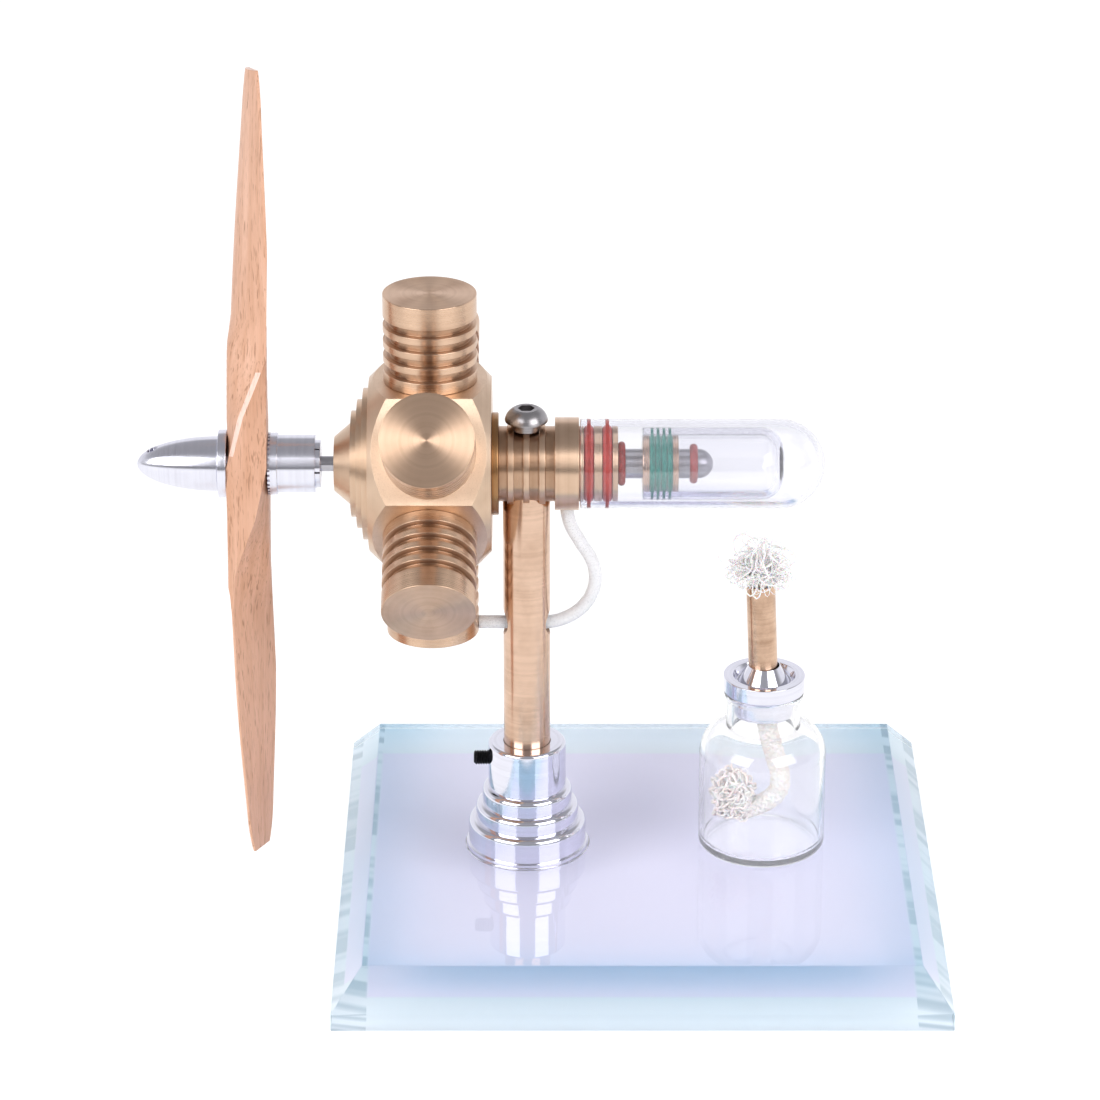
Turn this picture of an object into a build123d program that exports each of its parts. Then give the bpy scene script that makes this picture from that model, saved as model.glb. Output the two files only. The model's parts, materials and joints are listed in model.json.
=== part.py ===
from build123d import *
import math
import os

# Free-displacer hot-air engine dressed as a six-cylinder radial, on a glass plate with a spirit burner.
# Units are millimetres. +Z is up, +X runs from the propeller to the hot glass cap.
# The origin is where the axis of the brass column meets the table.

# ---------------------------------------------------------------- driving dimensions
# Glass plate
PLATE_X, PLATE_Y, PLATE_T = 119.0, 116.0, 11.0
PLATE_CENTRE = (22.2, 1.5)
BEVEL_IN, BEVEL_DROP = 5.9, 7.4

# Pedestal and column
HUB_R, HUB_TOP = 7.7, 33.9
PEDESTAL_STEPS = ((11.7, 12.0, 17.1), (10.2, 17.1, 20.6), (8.9, 20.6, 24.2))    # radius, bottom, top
STEP_ROUND = 1.1
RIM_R = 12.1
COLUMN_R, COLUMN_BOTTOM, COLUMN_TOP = 4.6, 13.2, 88.6
COLUMN_CLEARANCE = 0.06
CROSS_HOLE_R, CROSS_HOLE_Z = 2.7, 60.1
SET_SCREW_R, SET_SCREW_Z, SET_SCREW_OUT = 1.5, 30.0, -10.6
SET_SOCKET, SET_SOCKET_DEPTH, SET_SCREW_GAP = 0.75, 1.5, 0.15
GLUE_WIDTH, GLUE_SHOULDER, GLUE_HEIGHT = 0.5, (0.2, 0.35), 0.45

# Button-head screw on top of the column
SCREW_R, SCREW_END, SCREW_SEAT = 2.0, 78.0, 100.9
SCREW_COLLAR_R, SCREW_HEAD_R, SCREW_BRIM, SCREW_TOP = 2.9, 4.15, 102.6, 105.1
HEAD_BULGE, HEAD_FLAT_R = (3.44, 1.7), 2.28
SCREW_SOCKET, SCREW_SOCKET_DEPTH = 1.45, 1.5

# Crankshaft axis and crankcase
AXIS_Z = 93.5
CASE_NOSE_X, CASE_BACK_X = -37.1, -6.7
CASE_APOTHEM = 17.7
CASE_CORNER_R = CASE_APOTHEM / math.cos(math.pi / 6)
NOSE_R, NOSE_CONE_R, NOSE_CONE_X = 5.3, 8.1, -33.8
CASE_STEPS, CASE_STEP_RUN, CASE_STEP_TOP_R = 4, 1.17, 16.9
CASE_CORNER_X, CASE_CHAMFER = -26.6, 3.5
SHAFT_HOLE_R = 2.4
CHAMBER_R, CHAMBER_FRONT, CHAMBER_BACK = 14.0, -28.0, -12.0
SPIGOT_R, SPIGOT_LENGTH, SPIGOT_GAP = 6.8, 2.6, 0.3
DISC_R, DISC_T, DISC_CHAMFER = 9.95, 1.35, 0.25

# Finned cylinders, measured outwards from the crankshaft axis
CYL_X, CYL_R, CYL_END = -18.4, 9.0, 35.3
HEAD_BAND, GROOVES, GROOVE_W, FIN_W, GROOVE_DEPTH, END_CHAMFER = 4.4, 4, 1.65, 1.4, 1.3, 0.2
DUMMY_ANGLES = (90, 30, -30, -150, 150)
BORE_R, BORE_FLOOR = 5.3, 34.5
PORT_Z = 59.8

# Crank train
SHAFT_R = 1.5
THROW, CRANK_DISC_R, CRANK_DISC_T = 2.5, 6.0, 2.6
CRANK_DISC_X = -24.2
CRANK_PIN_R, CRANK_PIN_END = 0.8, -15.6
ROD_LENGTH, ROD_T, ROD_WIDTH, BIG_END_R, SMALL_END_R = 22.0, 2.4, 1.8, 2.2, 1.5
WRIST_PIN_R, WRIST_PIN_LENGTH = 0.6, 6.0
PISTON_R, PISTON_WALL, PISTON_LENGTH, PISTON_LOW, PISTON_CROWN = 5.22, 0.62, 13.0, 60.8, 1.2
BEARING_X = (-36.8, -31.2)
BEARING_W, BEARING_R, BALL_R, BALLS = 3.0, 4.0, 0.55, 8
RACE_T = 0.65

# Neck between crankcase and hot cap
NECK_X = CASE_BACK_X + DISC_T
NECK_R, NECK_FIN_R = 7.3, 7.85
NECK_FINS = (-3.05, 0.0, 3.05)
NECK_FIN_W = 1.2
COLLAR_X, COLLAR_END, COLLAR_R = 5.5, 10.15, 9.0
PLUG_END = 17.65
NECK_SPIGOT_R, NECK_SPIGOT_X = 5.0, -11.0
SEAL_X, SEAL_R = (12.05, 15.6), 1.0

# Hot cap, guide and displacer
CAP_R, CAP_BORE_R, CAP_X, CAP_END = 8.7, 7.45, 10.4, 57.75
GUIDE_R, GUIDE_X, GUIDE_TIP = 2.86, 12.0, 36.1
BUMPER_IN_X, BUMPER_IN_R = 18.4, 0.72
BUMPER_OUT_X, BUMPER_OUT_R, BUMPER_GROOVE_R = 32.3, 0.76, 2.35
DISP_R, DISP_BORE_R, DISP_X, DISP_END, DISP_CORNER = 7.0, 5.57, 22.4, 50.0, 4.4
BUSH_END, BUSH_R, BUSH_BORE_R = 29.3, 5.5, 2.93
GREEN_RINGS, GREEN_PITCH, GREEN_R, GREEN_X = 4, 1.14, 0.56, 24.25

# Silicone hose, with the gas passage that leads to it
HOSE_R, HOSE_BORE_R, NIPPLE_BORE_R = 1.3, 0.75, 0.45
NIPPLE_X, NIPPLE_FOOT, PORT_NIPPLE_LENGTH = 7.7, 83.0, 6.0
PASSAGE_OFFSET, PASSAGE_R = 4.4, 0.8
HOSE_ROUTE = (
    (7.7, 86.4), (7.7, 81.9), (10.7, 76.5), (13.2, 72.6), (13.6, 67.4),
    (11.1, 62.7), (6.5, 59.9), (0.6, 59.45), (-4.6, PORT_Z), (-9.4, PORT_Z),
)

# Propeller and its adapter
PROP_FRONT, PROP_BACK = -57.7, -49.9
PROP_R, PROP_PITCH, PROP_TURN = 76.2, 127.0, 13.3
CHORD_MEAN, CHORD_SWELL, WIDEST_R, SWELL_SPAN = 14.0, 1.9, 50.0, 64.0
TIP_START, TIP_ROUND = 69.0, 10.0
PROP_EDGE, WALL_END, WALL_SPAN = 0.6, 30.0, 20.0
ROOT_TWIST, ROOT_SPAN = 37.0, 18.0
BLADE_LEAN, LEAN_START = 1.65, 20.0
STUD_R, ADAPTER_STUD_X = 2.5, -66.0
ADAPTER_FLANGE_R, ADAPTER_BODY_X, ADAPTER_BODY_R, ADAPTER_END_X = 6.05, -48.0, 5.6, -40.75
SERRATIONS, SERRATION_LENGTH, SERRATION_SIZE = 36, 1.6, 0.5
COLLET_FRONT_X, COLLET_TIP_R, COLLET_LIP_R, COLLET_END_X = -46.5, 3.2, 4.6, -39.75
SLITS, SLIT_WIDTH, SLIT_SHARE = 3, 0.35, 0.7
SHAFT_FRONT = -46.0
WASHER_R, WASHER_CHAMFER = 6.65, 0.2
TOMMY_X, TOMMY_R = -72.3, 1.05
SPINNER_BASE, SPINNER_TIP, SPINNER_R = -59.5, -75.3, 5.35
SPINNER_CURVE = ((-73.9, 2.1), (-70.5, 3.87), (-65.1, 5.0))

# Spirit burner
BURNER_X, BURNER_Y = 46.9, 0.5
BOTTLE_BASE, BOTTLE_R, BOTTLE_WALL = PLATE_T + 0.05, 12.6, 1.0
SHOULDER_Z, SHOULDER_R = 31.0, 6.5
NECK_OUT_R, BOTTLE_NECK_BORE_R, LIP_R, LIP_H, BOTTLE_TOP = 7.4, 5.8, 7.9, 1.5, 44.9
FLOOR_EDGE_T, FLOOR_CENTRE_T, FOOT_ROUND = 2.0, 2.6, 1.2
STOPPER_R, STOPPER_TOP, STOPPER_PLUG_R, STOPPER_PLUG_Z = 8.05, 48.1, 5.7, 40.0
DISH_R, DISH_FLOOR_R, DISH_Z = 6.2, 5.5, 46.6
BOSS_FOOT_R, BOSS_TOP_R, BOSS_TOP = 5.1, 3.1, 50.2
WICK_TUBE_R, WICK_TUBE_BORE_R, WICK_TUBE_Z = 2.87, 2.4, (41.0, 67.8)
WICK_LEAN = 2.6
WICK_R = 1.9
WICK_TOP = 68.6
WICK_ROUTE = ((48.9, 31.6), (51.3, 23.6), (47.6, 19.4), (42.8, 18.0))
TUFT_X, TUFT_Z, TUFT_R, TUFT_HALF_HEIGHT = 45.6, 72.1, 4.2, 4.25
BUNCH_X, BUNCH_Z, BUNCH_R, BUNCH_HALF_HEIGHT = 41.0, 21.7, 4.4, 6.1

# Planes and axes that several pieces share
AXIAL = Plane(origin=(0, 0, AXIS_Z), x_dir=(1, 0, 0), z_dir=(0, -1, 0))
SHAFT_AXIS = Axis((0, 0, AXIS_Z), (1, 0, 0))
BURNER_PLANE = Plane(origin=(BURNER_X, BURNER_Y, 0), x_dir=(1, 0, 0), z_dir=(0, -1, 0))
BURNER_AXIS = Axis((BURNER_X, BURNER_Y, 0), (0, 0, 1))

os.makedirs("parts", exist_ok=True)


def save(piece, name):
    """Label one finished piece and write it as its own file."""
    piece.part.label = name
    export_step(piece.part, f"parts/{name}.step")


def across(x):
    """Plane square to the crankshaft axis at a given x."""
    return Plane(origin=(x, 0, AXIS_Z), x_dir=(0, 1, 0), z_dir=(1, 0, 0))


def radial_sketch_plane(angle):
    """Plane through a cylinder's axis: local x runs along the crankshaft, local y outwards."""
    out = Vector(0, -math.cos(math.radians(angle)), math.sin(math.radians(angle)))
    return Plane(origin=(CYL_X, 0, AXIS_Z), x_dir=(1, 0, 0), z_dir=Vector(1, 0, 0).cross(out))


def radial_plane(angle, distance):
    """Plane square to a cylinder's axis, at a distance from the crankshaft axis."""
    side = radial_sketch_plane(angle)
    return Plane(origin=side.origin + side.y_dir * distance, x_dir=(1, 0, 0), z_dir=side.y_dir)


def corner_radii(points):
    """Largest arc for each corner of a hose or wick route: 0.45 of its shorter run."""
    radii = []
    for before, corner, after in zip(points, points[1:], points[2:]):
        run_in, run_out = corner - before, after - corner
        half_turn = math.radians(run_in.get_angle(run_out)) / 2
        radii.append(0.45 * min(run_in.length, run_out.length) / math.tan(half_turn))
    return radii


# ---------------------------------------------------------------- glass plate and pedestal
with BuildPart() as base_plate:
    with BuildSketch(Plane(origin=(*PLATE_CENTRE, 0))):
        Rectangle(PLATE_X, PLATE_Y)
    extrude(amount=PLATE_T - BEVEL_DROP)
    with BuildSketch(Plane(origin=(*PLATE_CENTRE, PLATE_T - BEVEL_DROP))):
        Rectangle(PLATE_X, PLATE_Y)
    extrude(amount=BEVEL_DROP, taper=math.degrees(math.atan(BEVEL_IN / BEVEL_DROP)))
save(base_plate, "base_plate")

step_outline = []
for radius, bottom, top in PEDESTAL_STEPS:
    step_outline += [(radius, bottom), (radius, top)]

with BuildPart() as pedestal:
    with BuildSketch(Plane.XZ) as pedestal_profile:
        with BuildLine():
            Polyline(
                (0, PLATE_T), (RIM_R, PLATE_T), (RIM_R, PEDESTAL_STEPS[0][1]),
                *step_outline,
                (HUB_R, PEDESTAL_STEPS[-1][2]), (HUB_R, HUB_TOP), (0, HUB_TOP),
                close=True,
            )
        make_face()
        for radius, bottom, top in PEDESTAL_STEPS:
            corner = pedestal_profile.vertices().sort_by_distance((radius, top))[0]
            fillet(corner, radius=STEP_ROUND)
        chamfer(pedestal_profile.vertices().sort_by_distance((HUB_R, HUB_TOP))[0], length=0.4)
    revolve(axis=Axis.Z)
    with BuildSketch(Plane.XY.offset(COLUMN_BOTTOM - 0.2)):
        Circle(COLUMN_R + COLUMN_CLEARANCE)
    extrude(amount=HUB_TOP, mode=Mode.SUBTRACT)
    with BuildSketch(Plane(origin=(0, 0, SET_SCREW_Z), x_dir=(0, 1, 0), z_dir=(-1, 0, 0))):
        Circle(SET_SCREW_R)
    extrude(amount=HUB_R + 1, mode=Mode.SUBTRACT)
save(pedestal, "pedestal")

# Bead of clear adhesive around the pedestal's foot
with BuildPart() as glue_ring:
    with BuildSketch(Plane.XZ):
        with BuildLine():
            Polyline(
                (RIM_R, PLATE_T), (RIM_R + GLUE_WIDTH, PLATE_T),
                (RIM_R + GLUE_SHOULDER[0], PLATE_T + GLUE_SHOULDER[1]), (RIM_R, PLATE_T + GLUE_HEIGHT),
                close=True,
            )
        make_face()
    revolve(axis=Axis.Z)
save(glue_ring, "glue_ring")

# Set screw that clamps the column, with a hexagon socket in its outer end
with BuildPart() as set_screw:
    with BuildSketch(Plane(origin=(SET_SCREW_OUT, 0, SET_SCREW_Z), x_dir=(0, 1, 0), z_dir=(1, 0, 0))):
        Circle(SET_SCREW_R)
    extrude(amount=-SET_SCREW_OUT - COLUMN_R - SET_SCREW_GAP)
    with BuildSketch(Plane(origin=(SET_SCREW_OUT, 0, SET_SCREW_Z), x_dir=(0, 1, 0), z_dir=(1, 0, 0))):
        RegularPolygon(radius=SET_SOCKET, side_count=6, major_radius=False)
    extrude(amount=SET_SOCKET_DEPTH, mode=Mode.SUBTRACT)
save(set_screw, "set_screw")

# ---------------------------------------------------------------- column and neck
with BuildPart() as column:
    with BuildSketch(Plane.XY.offset(COLUMN_BOTTOM)):
        Circle(COLUMN_R)
    extrude(amount=COLUMN_TOP - COLUMN_BOTTOM)
    with BuildSketch(Plane(origin=(-COLUMN_R - 1, 0, CROSS_HOLE_Z), x_dir=(0, 1, 0), z_dir=(1, 0, 0))):
        Circle(CROSS_HOLE_R)
    extrude(amount=2 * COLUMN_R + 2, mode=Mode.SUBTRACT)
    with BuildSketch(Plane.XY.offset(SCREW_END - 1.0)):
        Circle(SCREW_R)
    extrude(amount=COLUMN_TOP, mode=Mode.SUBTRACT)
save(column, "column")

neck_outline = [(NECK_SPIGOT_X, 0), (NECK_SPIGOT_X, NECK_SPIGOT_R)]
neck_outline += [(NECK_X, NECK_SPIGOT_R), (NECK_X, NECK_R)]
for centre in NECK_FINS:
    left, right = centre - NECK_FIN_W / 2, centre + NECK_FIN_W / 2
    neck_outline += [(left, NECK_R), (left, NECK_FIN_R), (right, NECK_FIN_R), (right, NECK_R)]
neck_outline += [(COLLAR_X, NECK_R), (COLLAR_X, COLLAR_R), (COLLAR_END, COLLAR_R), (COLLAR_END, NECK_R)]
for centre in SEAL_X:
    left, right = centre - SEAL_R, centre + SEAL_R
    seat = CAP_BORE_R - 2 * SEAL_R
    neck_outline += [(left, NECK_R), (left, seat), (right, seat), (right, NECK_R)]
neck_outline += [(PLUG_END, NECK_R), (PLUG_END, 0)]

with BuildPart() as neck:
    with BuildSketch(AXIAL):
        with BuildLine():
            Polyline(*neck_outline, close=True)
        make_face()
    revolve(axis=SHAFT_AXIS)
    # Socket for the column and the hole of its screw
    with BuildSketch(Plane.XY.offset(AXIS_Z - COLLAR_R)):
        Circle(COLUMN_R)
    extrude(amount=COLUMN_TOP - AXIS_Z + COLLAR_R, mode=Mode.SUBTRACT)
    with BuildSketch(Plane.XY.offset(COLUMN_TOP)):
        Circle(SCREW_R)
    extrude(amount=2 * COLLAR_R, mode=Mode.SUBTRACT)
    # Flat seat under the screw's collar
    with BuildSketch(Plane.XY.offset(SCREW_SEAT)):
        Circle(SCREW_COLLAR_R)
    extrude(amount=COLLAR_R, mode=Mode.SUBTRACT)
    # Bore for the guide's root
    with BuildSketch(across(GUIDE_X)):
        Circle(GUIDE_R)
    extrude(amount=PLUG_END - GUIDE_X + 1, mode=Mode.SUBTRACT)
    # Gas passage: along the plug, then down to the hose nipple
    with BuildSketch(across(NIPPLE_X)):
        with Locations((0, -PASSAGE_OFFSET)):
            Circle(PASSAGE_R)
    extrude(amount=PLUG_END - NIPPLE_X + 1, mode=Mode.SUBTRACT)
    with BuildSketch(Plane(origin=(NIPPLE_X, 0, AXIS_Z - COLLAR_R - 1))):
        Circle(HOSE_BORE_R)
    extrude(amount=COLLAR_R + 1 - PASSAGE_OFFSET, mode=Mode.SUBTRACT)
    with BuildSketch(Plane(origin=(NIPPLE_X, 0, AXIS_Z - COLLAR_R - 1))):
        Circle(HOSE_R + 0.05)
    extrude(amount=HOSE_ROUTE[0][1] - AXIS_Z + COLLAR_R + 1, mode=Mode.SUBTRACT)
save(neck, "neck")

# Button-head screw down through the neck into the column
with BuildPart() as neck_screw:
    with BuildSketch(Plane.XZ):
        with BuildLine():
            edge = Polyline(
                (0, SCREW_TOP), (0, SCREW_END), (SCREW_R, SCREW_END), (SCREW_R, SCREW_SEAT),
                (SCREW_COLLAR_R, SCREW_SEAT), (SCREW_COLLAR_R, SCREW_BRIM - 0.5),
                (SCREW_HEAD_R, SCREW_BRIM), (SCREW_HEAD_R, SCREW_BRIM + 0.3),
            )
            ThreePointArc(edge @ 1, (HEAD_BULGE[0], SCREW_BRIM + HEAD_BULGE[1]), (HEAD_FLAT_R, SCREW_TOP))
            Line((HEAD_FLAT_R, SCREW_TOP), (0, SCREW_TOP))
        make_face()
    revolve(axis=Axis.Z)
    with BuildSketch(Plane.XY.offset(SCREW_TOP - SCREW_SOCKET_DEPTH)):
        RegularPolygon(radius=SCREW_SOCKET, side_count=6, major_radius=False)
    extrude(amount=2, mode=Mode.SUBTRACT)
save(neck_screw, "neck_screw")

# Two red seal rings in the plug's grooves
with BuildPart() as seal_o_rings:
    for centre in SEAL_X:
        with BuildSketch(AXIAL):
            with Locations((centre, CAP_BORE_R - SEAL_R)):
                Circle(SEAL_R)
        revolve(axis=SHAFT_AXIS)
save(seal_o_rings, "seal_o_rings")

# ---------------------------------------------------------------- crankcase
cone_outline = [(CASE_NOSE_X, 0), (CASE_NOSE_X, NOSE_R)]
step_rise = (CASE_STEP_TOP_R - NOSE_CONE_R) / CASE_STEPS
for i in range(CASE_STEPS):
    riser_x = NOSE_CONE_X + i * CASE_STEP_RUN
    cone_outline += [(riser_x, NOSE_CONE_R + i * step_rise), (riser_x, NOSE_CONE_R + (i + 1) * step_rise)]
blank_r = CASE_CORNER_R + 0.01
cone_outline += [(CASE_CORNER_X, blank_r), (CASE_BACK_X - CASE_CHAMFER, blank_r)]
cone_outline += [(CASE_BACK_X, blank_r - CASE_CHAMFER), (CASE_BACK_X, 0)]

with BuildPart() as crankcase:
    with BuildSketch(AXIAL):
        with BuildLine():
            Polyline(*cone_outline, close=True)
        make_face()
    revolve(axis=SHAFT_AXIS)
    with BuildSketch(across(CASE_NOSE_X)):
        RegularPolygon(radius=CASE_APOTHEM, side_count=6, major_radius=False)
    extrude(amount=CASE_BACK_X - CASE_NOSE_X, mode=Mode.INTERSECT)
    # Crank chamber, rear bore for the neck's spigot, bearing seats and shaft hole
    with BuildSketch(across(CHAMBER_FRONT)):
        Circle(CHAMBER_R)
    extrude(amount=CHAMBER_BACK - CHAMBER_FRONT, mode=Mode.SUBTRACT)
    with BuildSketch(across(CHAMBER_BACK)):
        Circle(NECK_SPIGOT_R)
    extrude(amount=CASE_BACK_X - CHAMBER_BACK, mode=Mode.SUBTRACT)
    with BuildSketch(across(CASE_NOSE_X)):
        Circle(SHAFT_HOLE_R)
    extrude(amount=CHAMBER_FRONT - CASE_NOSE_X, mode=Mode.SUBTRACT)
    for seat_x in BEARING_X:
        with BuildSketch(across(seat_x)):
            Circle(BEARING_R)
        extrude(amount=BEARING_W, mode=Mode.SUBTRACT)
    # Holes for the cylinders' spigots: blind for the dummies, through for the power cylinder
    for angle in DUMMY_ANGLES:
        with BuildSketch(radial_plane(angle, CASE_APOTHEM - SPIGOT_LENGTH - SPIGOT_GAP)):
            Circle(SPIGOT_R)
        extrude(amount=SPIGOT_LENGTH + 1, mode=Mode.SUBTRACT)
    with BuildSketch(radial_plane(-90, CHAMBER_R - 4)):
        Circle(SPIGOT_R)
    extrude(amount=CASE_APOTHEM, mode=Mode.SUBTRACT)
save(crankcase, "crankcase")

with BuildPart() as back_disc:
    with BuildSketch(across(CASE_BACK_X)):
        Circle(DISC_R)
        Circle(NECK_SPIGOT_R, mode=Mode.SUBTRACT)
    extrude(amount=DISC_T)
    chamfer(back_disc.edges().sort_by(SortBy.LENGTH)[-2:], length=DISC_CHAMFER)
save(back_disc, "back_disc")

# ---------------------------------------------------------------- cylinders
fin_outline = [(CYL_R, CASE_APOTHEM)]
fin_edge = CYL_END - HEAD_BAND - GROOVES * GROOVE_W - (GROOVES - 1) * FIN_W
for _ in range(GROOVES):
    fin_outline += [(CYL_R, fin_edge), (CYL_R - GROOVE_DEPTH, fin_edge)]
    fin_outline += [(CYL_R - GROOVE_DEPTH, fin_edge + GROOVE_W), (CYL_R, fin_edge + GROOVE_W)]
    fin_edge += GROOVE_W + FIN_W
fin_outline += [(CYL_R, CYL_END - END_CHAMFER), (CYL_R - END_CHAMFER, CYL_END)]

for number, angle in enumerate(DUMMY_ANGLES, start=1):
    side = radial_sketch_plane(angle)
    with BuildPart() as cylinder:
        with BuildSketch(side):
            with BuildLine():
                Polyline(
                    (0, CASE_APOTHEM - SPIGOT_LENGTH), (SPIGOT_R, CASE_APOTHEM - SPIGOT_LENGTH),
                    (SPIGOT_R, CASE_APOTHEM), *fin_outline, (0, CYL_END),
                    close=True,
                )
            make_face()
        revolve(axis=Axis(side.origin, side.y_dir))
    save(cylinder, f"cylinder_{number}")

power_side = radial_sketch_plane(-90)
with BuildPart() as power_cylinder:
    with BuildSketch(power_side):
        with BuildLine():
            Polyline(
                (BORE_R, CHAMBER_R), (SPIGOT_R, CHAMBER_R), (SPIGOT_R, CASE_APOTHEM), *fin_outline,
                (0, CYL_END), (0, BORE_FLOOR), (BORE_R, BORE_FLOOR),
                close=True,
            )
        make_face()
    revolve(axis=Axis(power_side.origin, power_side.y_dir))
    with BuildSketch(Plane(origin=(CYL_X, 0, PORT_Z), x_dir=(0, 1, 0), z_dir=(1, 0, 0))):
        Circle(HOSE_BORE_R)
    extrude(amount=CYL_R + 1, mode=Mode.SUBTRACT)
save(power_cylinder, "power_cylinder")

# ---------------------------------------------------------------- hose and its nipples
with BuildPart() as cap_nipple:
    with BuildSketch(Plane(origin=(NIPPLE_X, 0, NIPPLE_FOOT))):
        Circle(HOSE_BORE_R)
        Circle(NIPPLE_BORE_R, mode=Mode.SUBTRACT)
    extrude(amount=AXIS_Z - PASSAGE_OFFSET - PASSAGE_R - 0.1 - NIPPLE_FOOT)
save(cap_nipple, "cap_nipple")

with BuildPart() as cylinder_nipple:
    with BuildSketch(Plane(origin=(CYL_X + BORE_R + 0.15, 0, PORT_Z), x_dir=(0, 1, 0), z_dir=(1, 0, 0))):
        Circle(HOSE_BORE_R)
        Circle(NIPPLE_BORE_R, mode=Mode.SUBTRACT)
    extrude(amount=PORT_NIPPLE_LENGTH)
save(cylinder_nipple, "cylinder_nipple")

hose_points = [Vector(x, 0, z) for x, z in HOSE_ROUTE]
hose_radii = corner_radii(hose_points)
print("hose corner radii", [round(r, 1) for r in hose_radii])
with BuildPart() as gas_tube:
    with BuildLine() as hose_path:
        FilletPolyline(*hose_points, radius=hose_radii)
    with BuildSketch(Plane(origin=hose_points[0], x_dir=(1, 0, 0), z_dir=(0, 0, -1))):
        Circle(HOSE_R)
        Circle(HOSE_BORE_R, mode=Mode.SUBTRACT)
    sweep()
hose_length = hose_path.wires()[0].length
print("hose length", round(hose_length, 1))
print("hose volume", round(gas_tube.part.volume, 2), "expected",
      round(math.pi * (HOSE_R ** 2 - HOSE_BORE_R ** 2) * hose_length, 2))
save(gas_tube, "gas_tube")

# ---------------------------------------------------------------- bearings
with BuildPart() as bearing_outer_races:
    for seat_x in BEARING_X:
        with BuildSketch(across(seat_x)):
            Circle(BEARING_R)
            Circle(BEARING_R - RACE_T, mode=Mode.SUBTRACT)
        extrude(amount=BEARING_W)
save(bearing_outer_races, "bearing_outer_races")

with BuildPart() as bearing_inner_races:
    for seat_x in BEARING_X:
        with BuildSketch(across(seat_x)):
            Circle(SHAFT_R + RACE_T)
            Circle(SHAFT_R, mode=Mode.SUBTRACT)
        extrude(amount=BEARING_W)
save(bearing_inner_races, "bearing_inner_races")

ball_circle_r = (BEARING_R + SHAFT_R) / 2
with BuildPart() as bearing_balls:
    for seat_x in BEARING_X:
        with Locations(across(seat_x + BEARING_W / 2)):
            with PolarLocations(ball_circle_r, BALLS):
                Sphere(BALL_R)
save(bearing_balls, "bearing_balls")

# ---------------------------------------------------------------- crank train
with BuildPart() as crankshaft:
    with BuildSketch(across(SHAFT_FRONT)):
        Circle(SHAFT_R)
    extrude(amount=CRANK_DISC_X + CRANK_DISC_T - SHAFT_FRONT)
save(crankshaft, "crankshaft")

with BuildPart() as crank_disc:
    with BuildSketch(across(CRANK_DISC_X)):
        Circle(CRANK_DISC_R)
        Circle(SHAFT_R, mode=Mode.SUBTRACT)
        with Locations((0, -THROW)):
            Circle(CRANK_PIN_R, mode=Mode.SUBTRACT)
    extrude(amount=CRANK_DISC_T)
save(crank_disc, "crank_disc")

with BuildPart() as crank_pin:
    with BuildSketch(across(CRANK_DISC_X)):
        with Locations((0, -THROW)):
            Circle(CRANK_PIN_R)
    extrude(amount=CRANK_PIN_END - CRANK_DISC_X)
save(crank_pin, "crank_pin")

# Connecting rod hanging from the crank pin, at the bottom of its stroke
with BuildPart() as connecting_rod:
    with BuildSketch(across(CYL_X - ROD_T / 2)):
        with Locations((0, -THROW)):
            Circle(BIG_END_R)
        with Locations((0, -THROW - ROD_LENGTH)):
            Circle(SMALL_END_R)
        with Locations((0, -THROW - ROD_LENGTH / 2)):
            Rectangle(ROD_WIDTH, ROD_LENGTH)
        with Locations((0, -THROW)):
            Circle(CRANK_PIN_R + 0.05, mode=Mode.SUBTRACT)
        with Locations((0, -THROW - ROD_LENGTH)):
            Circle(WRIST_PIN_R, mode=Mode.SUBTRACT)
    extrude(amount=ROD_T)
save(connecting_rod, "connecting_rod")

with BuildPart() as wrist_pin:
    with BuildSketch(across(CYL_X - WRIST_PIN_LENGTH / 2)):
        with Locations((0, -THROW - ROD_LENGTH)):
            Circle(WRIST_PIN_R)
    extrude(amount=WRIST_PIN_LENGTH)
save(wrist_pin, "wrist_pin")

# Piston: a cup open towards the crank
with BuildPart() as piston:
    with BuildSketch(Plane(origin=(CYL_X, 0, PISTON_LOW))):
        Circle(PISTON_R)
    extrude(amount=PISTON_LENGTH)
    with BuildSketch(Plane(origin=(CYL_X, 0, PISTON_LOW + PISTON_CROWN))):
        Circle(PISTON_R - PISTON_WALL)
    extrude(amount=PISTON_LENGTH, mode=Mode.SUBTRACT)
save(piston, "piston")

# ---------------------------------------------------------------- hot cap, guide and displacer
with BuildPart() as hot_cap:
    with BuildSketch(AXIAL):
        with BuildLine():
            outer = Line((CAP_X, CAP_R), (CAP_END - CAP_R, CAP_R))
            outer_end = CenterArc((CAP_END - CAP_R, 0), CAP_R, 90, -90)
            Line(outer_end @ 1, (CAP_END - CAP_R + CAP_BORE_R, 0))
            inner_end = CenterArc((CAP_END - CAP_R, 0), CAP_BORE_R, 0, 90)
            inner = Line(inner_end @ 1, (CAP_X, CAP_BORE_R))
            Line(inner @ 1, outer @ 0)
        make_face()
    revolve(axis=SHAFT_AXIS)
save(hot_cap, "hot_cap")

with BuildPart() as guide_tube:
    with BuildSketch(AXIAL):
        with BuildLine():
            shank = Polyline(
                (GUIDE_TIP, 0), (GUIDE_X, 0), (GUIDE_X, GUIDE_R),
                (BUMPER_OUT_X - BUMPER_OUT_R, GUIDE_R), (BUMPER_OUT_X - BUMPER_OUT_R, BUMPER_GROOVE_R),
                (BUMPER_OUT_X + BUMPER_OUT_R, BUMPER_GROOVE_R), (BUMPER_OUT_X + BUMPER_OUT_R, GUIDE_R),
                (GUIDE_TIP - GUIDE_R, GUIDE_R),
            )
            CenterArc((GUIDE_TIP - GUIDE_R, 0), GUIDE_R, 90, -90)
        make_face()
    revolve(axis=SHAFT_AXIS)
save(guide_tube, "guide_tube")

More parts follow.
